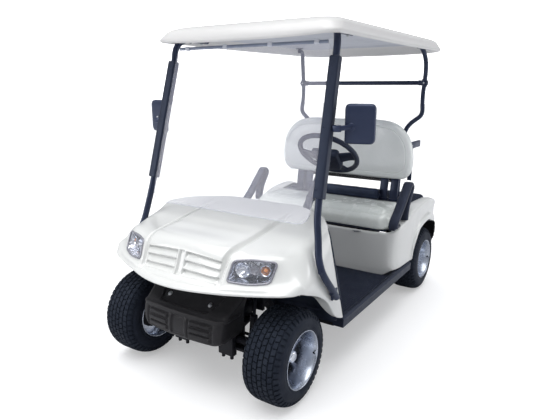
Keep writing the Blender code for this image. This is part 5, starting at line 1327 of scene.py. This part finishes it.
for s in (1, -1):
    for y in (-0.300, -0.390):
        plates.add(block((s * 0.463 - 0.022, y - 0.010, 1.6975), (s * 0.463 + 0.022, y + 0.010, 1.7035), 0.0015), 0)
        plates.add(hexagon((s * 0.463, y, 1.6655), (0, 0, -1), 0.006, 0.005), 1)
    plates.add(block((s * 0.452 - 0.024, 0.768, 1.6975), (s * 0.452 + 0.024, 0.800, 1.7035), 0.0015), 0)
plates.make("roof_plates", [POWDER, STEEL], "frame", "frame_black")

# ================================================================ rear struts
STRUT = [(0.452, 0.780, 1.684), (0.460, 0.832, 1.675), (0.472, 0.862, 1.636), (0.476, 0.886, 1.451), (0.4755, 0.876, 1.300),
         (0.473, 0.869, 1.238), (0.440, 0.860, 1.205), (0.395, 0.850, 1.162), (0.377, 0.838, 1.120), (0.375, 0.818, 1.040),
         (0.375, 0.785, 0.900), (0.375, 0.764, 0.780), (0.375, 0.760, 0.670)]
strut = Shape()
strut.add(pipe(path(STRUT, 170), 0.0150, 20))
strut.add(block((0.350, 0.732, 0.6584), (0.400, 0.788, 0.6720), 0.0020))
for x, y in ((0.3565, 0.739), (0.3935, 0.739), (0.3565, 0.781), (0.3935, 0.781)):
    strut.add(hexagon((x, y, 0.6720), (0, 0, 1), 0.0040, 0.0040), 1)
strut.add(turned((0.4763, 0.8875, 1.424), (0, -0.044, 1), [(0, 0), (0, .0160), (.0015, .0172), (.0525, .0172), (.054, .0160), (.054, 0)], 28))
strut.add(turned((0.4960, 0.886, 1.451), (-1, 0, 0), [(-0.001, 0), (-0.001, .0165), (.0010, .0185), (.060, .0185), (.062, .0170), (.062, .0150)], 28))
strut.add(dome_bolt((0.4765, 0.8695, 1.451), (0, -1, 0), 0.006, 0.003), 1)
pair(strut, "strut_tube", [POWDER, STEEL], "frame_black", "rear_strut")
cross = Shape()
cross.add(pipe([(x, 0.886, 1.451) for x in np.linspace(-0.4558, 0.4558, 24)], 0.0150, 24))
for s in (1, -1):
    cross.add(turned((s * 0.4558, 0.886, 1.451), (-s, 0, 0), [(0.0, .0152), (0.0, .0163), (.004, .0163), (.005, .0152)], 24))
cross.make("crossbar_tube", POWDER, "frame", "frame_black", ["rear_crossbar"])

# ================================================================ rear bumper
REAR_BUMPER = np.array([(0.555, 1.095, 1.074, 0.050, 0.452), (0.562, 1.119, 1.074, 0.045, 0.440), (0.565, 1.125, 1.074, 0.045, 0.390),
                        (0.560, 1.115, 1.074, 0.040, 0.330), (0.545, 1.085, 1.074, 0.020, 0.300)])
levels = along(REAR_BUMPER, np.linspace(0, 4, 64))
levels[:, 3] = np.minimum(levels[:, 3], levels[:, 1] - levels[:, 2] + 0.0)
half = []
for hw, f, b, r, z in levels:
    r = max(0.008, min(0.030, f - 0.012 - b - 0.001)) if f - b > 0.021 else 0.006
    half.append(u_half(hw, f, b, r, z, 1, 90, 10, 4))
RB = whole(np.array(half))
NR = normals_of(RB)
if NR[30, RB.shape[1] // 2, 1] < 0:
    NR = -NR
X, Z = np.abs(RB[..., 0]), RB[..., 2]
shift = -0.0035 * np.exp(-((Z - 0.415) / 0.004) ** 2) - 0.0035 * np.exp(-((Z - 0.352) / 0.004) ** 2)
for x in np.arange(0.02, 0.52, 0.03):
    shift += 0.0022 * np.exp(-((X - x) / 0.006) ** 2) * step(0.360, 0.366, Z) * (1 - step(0.400, 0.407, Z)) * (X > 0.115)
RB = RB + NR * shift[..., None]
rbp = Shape().add((RB.reshape(-1, 3), grid_faces(RB.shape[0], RB.shape[1])))
rbp.make("rear_bumper_cover", CHARCOAL, "frame", "trim_black", ["rear_bumper"], angle=42, shell=0.004, offset=-1)

# ================================================================ tail lights
tail = Shape()
o = rounded_outline([(0.360, 0.500), (0.460, 0.500), (0.460, 0.548), (0.360, 0.548)], 0.012, 6)
o = np.array(o)
c = o.mean(axis=0)
tail.add(stacked([[(x, y, z) for x, z in c + (o - c) * s] for y, s in ((1.1010, 1.0), (1.1060, 1.0), (1.1072, 0.985), (1.1072, 0.93))]), 0)
tail.add(stacked([[(x, y, z) for x, z in c + (o - c) * s] for y, s in ((1.1065, 0.93), (1.1120, 0.925), (1.1145, 0.89), (1.1155, 0.80), (1.1158, 0.4))]), 1)
for x in np.linspace(0.374, 0.446, 13):
    tail.add(bar((x, 1.1156, 0.509), (x, 1.1156, 0.539), 0.0022, 0.0016, bevel=0.0005, segments=1), 1)
pair(tail, "tail_lamp", [PLASTIC, RED_LENS], "lamp_red", "tail_light", angle=40)

# ================================================== steering column and wheel
WX = np.array((1.0, 0, 0))
WU = unit(np.array((0, -0.75, 0.66)))
WA = STEER_AXIS


def in_wheel(a, b, c):
    """A point a to the driver's right... along x, b up in the wheel's plane and c towards the driver."""
    return STEER_C + WX * a + WU * b + WA * c


foot = STEER_C - WA * 0.420
column = Shape()
column.add(turned(foot, WA, [(0.0, 0), (0.0, .036), (.004, .037), (.010, .0355), (.013, .0315), (.016, .0340), (.022, .0335), (.025, .0295),
                             (.028, .0318), (.034, .0312), (.037, .0275), (.040, .0298), (.046, .0285), (.050, .0230)], 36), 1)
column.add(turned(foot, WA, [(.045, .0220), (.285, .0220), (.288, .0235), (.292, .0340), (.350, .0345), (.356, .0325), (.358, .0280), (.358, 0)], 36), 0)
column.add(turned(foot, WA, [(.118, .0222), (.119, .0262), (.132, .0262), (.133, .0222)], 36), 0)
column.make("column_tube", [PLASTIC, SOFT_GRIP], "frame", "frame_black", ["steering_column"])

wheel = Shape()
ring_pts, radii = [], []
for k in range(144):
    a = 2 * math.pi * k / 144
    ring_pts.append(in_wheel((STEER_R - 0.0145) * math.cos(a), (STEER_R - 0.0145) * math.sin(a), 0))
    radii.append(0.0145 * (1 - 0.030 * (0.5 + 0.5 * math.cos(24 * a))))
wheel.add(pipe(ring_pts, np.array(radii), 22, closed=True), 0)
for angle in (0, 180):
    c, s = math.cos(math.radians(angle)), math.sin(math.radians(angle))
    pts, width = [], []
    for t in np.linspace(0, 1, 20):
        r = 0.030 + (STEER_R - 0.0165 - 0.030) * t
        pts.append(in_wheel(r * c, r * s - 0.012 * (1 - t) ** 2 - 0.004 * t, -0.030 * (1 - t) ** 1.5 - 0.001))
        width.append(1.0 + 0.55 * (1 - t) ** 2 + 0.30 * t ** 6)
    wheel.add(pipe(pts, np.array(width), up=WA, section=box_section(0.062, 0.0105, 0.0045)), 1)
for s in (1, -1):  # the lower pad reaches the rim with two legs that grow together
    pts, width = [], []
    for t in np.linspace(0, 1, 20):
        pts.append(in_wheel(s * (0.026 + 0.032 * t), -0.030 - (STEER_R - 0.0165 - 0.040) * t, -0.030 * (1 - t) ** 1.3 - 0.001))
        width.append(1.0 + 0.20 * t ** 4)
    wheel.add(pipe(pts, np.array(width), up=WA, section=box_section(0.044, 0.0105, 0.0045)), 1)
shield = rounded_outline([(-0.086, 0.056), (0.086, 0.056), (0.074, -0.070), (0.050, -0.118), (-0.050, -0.118), (-0.074, -0.070)],
                         [0.022, 0.022, 0.03, 0.02, 0.02, 0.03], 7)
shield = np.array(shield)
mid = shield.mean(axis=0)
rings = []
for c, s in ((-0.040, 0.70), (-0.038, 0.90), (-0.030, 0.97), (-0.018, 1.0), (-0.008, 1.0), (-0.003, 0.975), (0.0005, 0.92), (0.0025, 0.80),
             (0.0035, 0.60), (0.0040, 0.3)):
    rings.append([in_wheel(*(mid + (p - mid) * s), c) for p in shield])
wheel.add(stacked(rings), 1)
emb = rounded_outline([(-0.030, 0.016), (0.030, 0.016), (0.022, -0.034), (-0.022, -0.034)], 0.012, 6)
rings = [[in_wheel(p[0] * s, p[1] * s, c) for p in emb] for c, s in ((0.0030, 1.0), (0.0058, 1.0), (0.0068, 0.93), (0.0068, 0.6))]
wheel.add(stacked(rings), 0)
wheel.add(turned(STEER_C - WA * 0.060, WA, [(0, 0), (0, .024), (.003, .026), (.020, .030), (.026, .034)], 36), 1)
wheel.make("steering_wheel_rim", [SOFT_GRIP, PLASTIC], "hand_wheel", "trim_black", ["steering_wheel"], angle=45)

# ========================================================== tyres and wheels
def arc_profile(points, n=4):
    """A closed cross-section through (offset, radius) points, rounded by a closed smooth curve."""
    p = np.array(points, float)
    loop = np.concatenate([p[-3:], p, p[:4]])
    fine = along(np.column_stack([loop, np.zeros(len(loop))]), np.arange(3, 3 + len(p), 1 / n))
    return fine[:, :2]


def lathe_x(profile, sides, closed=True):
    """Turns (offset along x, radius) about the x axis."""
    n = len(profile)
    verts = []
    for k in range(sides):
        a = 2 * math.pi * k / sides
        for o, r in profile:
            verts.append((o, r * math.sin(a), r * math.cos(a)))
    i = np.arange(sides)[:, None]
    j = np.arange(n if closed else n - 1)[None, :]
    i2, j2 = (i + 1) % sides, (j + 1) % n
    q = np.stack(np.broadcast_arrays(i * n + j, i * n + j2, i2 * n + j2, i2 * n + j), axis=-1).reshape(-1, 4)
    return verts, [tuple(map(int, f)) for f in q]


CARCASS = [(0.0, .2185), (.030, .2185), (.054, .2178), (.072, .2120), (.0840, .2035), (.0905, .1955), (.0962, .1860), (.1000, .1755),
           (.1022, .1650), (.1024, .1560), (.1010, .1490), (.0998, .1452), (.1002, .1415), (.0990, .1368), (.0972, .1325), (.0962, .1300)]
INNER = [(.0862, .1290), (.0850, .1320), (.0880, .1500), (.0900, .1680), (.0800, .1900), (.0600, .2030), (.030, .2075)]


def crown(o):
    """Radius of the tread's top at an offset."""
    return float(np.interp(abs(o), [0, .030, .052, .070, .082, .090, .0955], [.2262, .2262, .2252, .2206, .2145, .2062, .1980]))


def base_at(o):
    return float(np.interp(abs(o), [0, .030, .054, .072, .084, .0905, .0962], [.2185, .2185, .2178, .2120, .2035, .1955, .1860]))


def tyre():
    shape = Shape()
    outer = np.array([(-o, r) for o, r in CARCASS[:0:-1]] + CARCASS)
    fine = along(np.column_stack([outer, np.zeros(len(outer))]), np.linspace(0, len(outer) - 1, 92))[:, :2]
    lumps = 0.0010 * np.exp(-((fine[:, 1] - 0.1770) / 0.0016) ** 2) + 0.0016 * np.exp(-((fine[:, 1] - 0.1385) / 0.0030) ** 2)
    fine[:, 0] += np.sign(fine[:, 0]) * lumps
    inner = [(o, r) for o, r in INNER] + [(0.0, .2080)] + [(-o, r) for o, r in INNER[::-1]]
    shape.add(lathe_x([tuple(p) for p in fine] + inner, 128))
    per = 46
    rows = [(-.0640, .0095, 0.0), (-.0384, .0102, .5), (-.0128, .0102, 0.0), (.0128, .0102, .5), (.0384, .0102, 0.0), (.0640, .0095, .5)]
    half = math.pi / per * 0.815
    for o, w, phase in rows:
        for k in range(per):
            a0 = 2 * math.pi * (k + phase) / per
            block_on(shape, a0, half, o, w, 0.16 * (1 if phase else -1))
    for side in (1, -1):
        for k in range(per):
            a0 = 2 * math.pi * (k + (0.25 if side > 0 else 0.75)) / per
            block_on(shape, a0, half * 0.80, side * 0.0858, 0.0080, 0.05)
    return shape


def block_on(shape, a0, half, o, w, skew):
    """One tread block, with a softened top edge and drafted sides."""
    verts = []
    for level in range(3):
        if level == 0:
            dw, da, radius = w + .0008, half + .004, lambda q: base_at(q) - .0012
        elif level == 1:
            dw, da, radius = w, half, lambda q: crown(q) - .0011
        else:
            dw, da, radius = w - .0010, half - .0046, crown
        for u, v in ((-1, -1), (0, -1), (1, -1), (1, 1), (0, 1), (-1, 1)):
            q = o + u * dw
            a = a0 + v * da + skew * half * u
            r = radius(q)
            verts.append((q, r * math.sin(a), r * math.cos(a)))
    faces = []
    for lv in (0, 1):
        for k in range(6):
            k2 = (k + 1) % 6
            faces.append((lv * 6 + k, lv * 6 + k2, (lv + 1) * 6 + k2, (lv + 1) * 6 + k))
    faces += [(12, 13, 16, 17), (13, 14, 15, 16)]
    shape.add((verts, faces), 1)


def rim():
    shape = Shape()
    face = [(.0990, .1372), (.1008, .1364), (.1016, .1344), (.1006, .1326), (.0970, .1306), (.0900, .1272), (.0780, .1235), (.0600, .1195),
            (.0400, .1160), (.0250, .1135), (.0100, .1112), (-.0200, .1104), (-.0500, .1120), (-.0800, .1165), (-.0950, .1225),
            (-.0995, .1252), (-.1004, .1280), (-.0985, .1302), (-.0968, .1292), (-.0955, .1285), (-.0800, .1230), (-.0500, .1150), (.0, .1135),
            (.0500, .1210), (.0800, .1275), (.0940, .1300), (.0972, .1345)]
    p = np.array(face)
    shape.add(lathe_x([tuple(q) for q in p], 128), 0)
    for k in range(5):
        a = 2 * math.pi * k / 5
        rad, tan = np.array((0, math.sin(a), math.cos(a))), np.array((0, math.cos(a), -math.sin(a)))
        rings = []
        for r, o, w, thick in ((.026, .0235, .0175, .016), (.034, .0220, .0150, .016), (.045, .0180, .0120, .0155), (.060, .0145, .0100, .0150),
                               (.078, .0125, .0096, .0145), (.094, .0125, .0104, .0150), (.104, .0130, .0124, .0165), (.1132, .0140, .0150, .0185)):
            section = []
            for s, d in ((-1.0, -.5), (-1.0, .18), (-.80, .40), (-.42, .50), (-.25, .44), (0, .40), (.25, .44), (.42, .50), (.80, .40), (1.0, .18), (1.0, -.5),
                         (.5, -.62), (-.5, -.62)):
                section.append(rad * r + tan * w * s + np.array((o + d * thick, 0, 0)))
            rings.append(section)
        rings = along(np.array(rings), np.linspace(0, len(rings) - 1, 22))
        shape.add(stacked(list(rings)), 1)
    shape.add(lathe_x([(-.012, .0390), (.016, .0400), (.0215, .0392), (.0250, .0370), (.0262, .0340), (.0262, .0300), (.0240, .0285), (.0200, .0), (-.012, .0)], 64, closed=False), 1)
    shape.add(lathe_x([(.0255, .0322), (.0275, .0330), (.0300, .0322), (.0325, .0300), (.0350, .0292), (.0450, .0272), (.0505, .0246), (.0535, .0200),
                       (.0546, .0150), (.0540, .0122), (.0546, .0100), (.0552, .0060), (.0554, .0)], 64, closed=False), 2)
    for k in range(5):
        a = 2 * math.pi * (k + 0.5) / 5
        shape.add(turned((.0255, .0348 * math.sin(a), .0348 * math.cos(a)), (1, 0, 0), [(0, 0), (0, .0034), (.0030, .0034), (.0040, .0024), (.0040, 0)], 6), 3)
    a = math.radians(100)
    shape.add(pipe([(.088, .1180 * math.sin(a), .1180 * math.cos(a)), (.0935, .1135 * math.sin(a), .1135 * math.cos(a)), (.101, .108 * math.sin(a), .108 * math.cos(a))],
                   [.0045, .0040, .0032], 12), 4)
    return shape


tyre_shape, rim_shape = tyre(), rim()
back_plate = Shape()
back_plate.add(lathe_x([(-.052, .030), (-.052, .080), (-.049, .0845), (-.030, .0860), (-.0225, .0845), (-.0205, .0800), (-.0205, .0480), (-.0165, .0440), (-.0150, .030)],
                       72, closed=True), 0)
for k in range(24):
    a = 2 * math.pi * k / 24
    rad = np.array((0, math.sin(a), math.cos(a)))
    back_plate.add(bar(np.array((-.046, 0, 0)) + rad * .0862, np.array((-.028, 0, 0)) + rad * .0862, .0050, .0030, side=np.cross(rad, (1, 0, 0)), bevel=.0008, segments=1), 0)
for which, x, y in (("front_left", TRACK_F, -AXLE_Y), ("front_right", -TRACK_F, -AXLE_Y), ("rear_left", TRACK_R, AXLE_Y), ("rear_right", -TRACK_R, AXLE_Y)):
    m = Matrix.Translation((x, y, TYRE_R))
    if x < 0:
        m = m @ Matrix.Rotation(math.pi, 4, "Z")
    body = "roll_" + which
    tyre_shape.moved(m).make("tyre_rubber_" + which, [RUBBER, TREAD], body, "tyre", ["tyre_" + which], angle=30)
    rim_shape.moved(m).make("alloy_wheel_" + which, [ALLOY, CAST, CHROME, STEEL, RUBBER], body, "alloy", ["wheel_" + which], angle=36)
    if which.startswith("front"):
        back_plate.moved(m).make("brake_drum_" + which, [IRON], body, "frame_black", angle=36)

# ===================================================== springs, links, clips
gear = Shape()
for s in (1, -1):
    for dy in (-0.028, 0.028):
        gear.add(pipe(path([(s * 0.122, -AXLE_Y + dy, 0.206), (s * 0.122, -AXLE_Y + dy, 0.300), (s * 0.126, -AXLE_Y + dy, 0.306), (s * 0.146, -AXLE_Y + dy, 0.308),
                            (s * 0.166, -AXLE_Y + dy, 0.306), (s * 0.170, -AXLE_Y + dy, 0.300), (s * 0.170, -AXLE_Y + dy, 0.206)], 40), 0.0045, 10), 1)
        for x in (0.122, 0.170):
            gear.add(hexagon((s * x, -AXLE_Y + dy, 0.2065), (0, 0, -1), 0.0075, 0.007), 1)
    for y0 in (AXLE_Y - 0.034, AXLE_Y + 0.034):
        gear.add(pipe(path([(s * 0.262, y0, 0.160), (s * 0.262, y0, 0.300), (s * 0.270, y0, 0.309), (s * 0.290, y0, 0.311), (s * 0.310, y0, 0.309),
                            (s * 0.318, y0, 0.300), (s * 0.318, y0, 0.160)], 44), 0.0048, 10), 1)
gear.make("spring_clips", [CHASSIS, CHASSIS], "frame", "frame_black", angle=50)

# ====================================== the machined parts keep their own mesh
own = {
    "chassis_frame": CHASSIS, "front_axle": CHASSIS, "front_suspension_left": CHASSIS, "front_suspension_right": CHASSIS,
    "rear_suspension_left": CHASSIS, "rear_suspension_right": CHASSIS, "rear_axle": IRON, "knuckle_left": IRON, "knuckle_right": IRON,
    "tie_rod": CHASSIS, "seat_base": PLASTIC, "bag_deck": PLASTIC, "battery_pack": CASE, "floor_pan": PLASTIC, "pedal_assembly": POWDER,
    "windshield": GLASS}
for name, mat in own.items():
    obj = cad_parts[name]
    for s in obj.material_slots:
        s.material = mat

# ============================================================ floor and light
def sheet(name, corners, colour, glow=0.0):
    mesh = bpy.data.meshes.new(name)
    mesh.from_pydata(corners, [], [tuple(range(len(corners)))])
    obj = bpy.data.objects.new(name, mesh)
    scene.collection.objects.link(obj)
    mat, tree, bsdf = new_shader(name)
    bsdf.inputs["Base Color"].default_value = (*colour, 1)
    bsdf.inputs["Roughness"].default_value = 0.9
    bsdf.inputs["Specular IOR Level"].default_value = 0.05
    bsdf.inputs["Emission Color"].default_value = (1, 1, 1, 1)
    bsdf.inputs["Emission Strength"].default_value = glow
    mesh.materials.append(mat)
    return obj


wide = [(-70, -70, -0.0006), (70, -70, -0.0006), (70, 70, -0.0006), (-70, 70, -0.0006)]
floor = sheet("studio_floor", wide, (0.72, 0.72, 0.725), 0.36)      # what the camera sees
floor.visible_diffuse = floor.visible_glossy = floor.visible_shadow = False
bounce = sheet("studio_floor_bounce", [(x, y, -0.004) for x, y, _ in wide], (0.60, 0.605, 0.62))   # what lights the cart from below
bounce.visible_camera = bounce.visible_transmission = False
sweep = sheet("studio_backdrop", [(-69, 40, -2), (69, 40, -2), (69, 40, 40), (-69, 40, 40)], (0.9, 0.9, 0.9), 1.3)
sweep.visible_diffuse = sweep.visible_glossy = sweep.visible_shadow = False
sweep_left = sheet("studio_backdrop_left", [(-40, -69, -2), (-40, 69, -2), (-40, 69, 40), (-40, -69, 40)], (0.9, 0.9, 0.9), 1.3)
sweep_left.visible_diffuse = sweep_left.visible_glossy = sweep_left.visible_shadow = False
sweep_front = sheet("studio_backdrop_front", [(-69, -41, -2), (69, -41, -2), (69, -41, 40), (-69, -41, 40)], (0.9, 0.9, 0.9), 1.3)
sweep_front.visible_diffuse = sweep_front.visible_glossy = sweep_front.visible_shadow = False
sweep_right = sheet("studio_backdrop_right", [(41, -69, -2), (41, 69, -2), (41, 69, 40), (41, -69, 40)], (0.9, 0.9, 0.9), 1.3)
sweep_right.visible_diffuse = sweep_right.visible_glossy = sweep_right.visible_shadow = False

world = bpy.data.worlds.new("studio")
scene.world = world
world.use_nodes = True
tree = world.node_tree
sky = tree.nodes["Background"]
way = put(tree, "ShaderNodeTexCoord")
split = put(tree, "ShaderNodeSeparateXYZ")
tree.links.new(way.outputs["Generated"], split.inputs[0])
tones = put(tree, "ShaderNodeValToRGB")
span = put(tree, "ShaderNodeMapRange")
span.inputs["From Min"].default_value, span.inputs["From Max"].default_value = -1.0, 1.0
tree.links.new(split.outputs["Z"], span.inputs["Value"])
tree.links.new(span.outputs["Result"], tones.inputs["Fac"])
ramp = tones.color_ramp
ramp.elements[0].position, ramp.elements[0].color = 0.0, (0.10, 0.11, 0.13, 1)
ramp.elements[1].position, ramp.elements[1].color = 1.0, (0.95, 0.97, 1.0, 1)
for at, c in ((0.50, (0.24, 0.25, 0.28, 1)), (0.62, (0.42, 0.43, 0.46, 1))):
    e = ramp.elements.new(at)
    e.color = c
tree.links.new(tones.outputs["Color"], sky.inputs["Color"])
sky.inputs["Strength"].default_value = 0.85


def area(name, place, aim_at, size, power, shape="RECTANGLE", tint=(1, 1, 1)):
    light = bpy.data.lights.new(name, "AREA")
    light.shape, light.size, light.size_y, light.energy, light.color = shape, size[0], size[1], power, tint
    obj = bpy.data.objects.new(name, light)
    obj.location = place
    obj.rotation_euler = (Vector(aim_at) - Vector(place)).to_track_quat("-Z", "Y").to_euler()
    scene.collection.objects.link(obj)
    return obj


lamp_data = bpy.data.lights.new("overhead", "SUN")   # one wide soft light from above, a little from the front
lamp_data.energy, lamp_data.angle = 2.15, math.radians(64)
overhead = bpy.data.objects.new("overhead", lamp_data)
overhead.rotation_euler = Vector((0.10, 0.16, -1.0)).to_track_quat("-Z", "Y").to_euler()
scene.collection.objects.link(overhead)
area("front", (-3.1, -4.4, 2.0), (0.1, 0.2, 0.7), (2.8, 2.0), 50)
area("side", (4.6, 2.9, 1.7), (0.4, 0.7, 0.6), (2.6, 1.8), 33)

scene.view_settings.view_transform = "Standard"
scene.view_settings.look = "None"
scene.view_settings.exposure = 0.0
scene.view_settings.gamma = 1.0
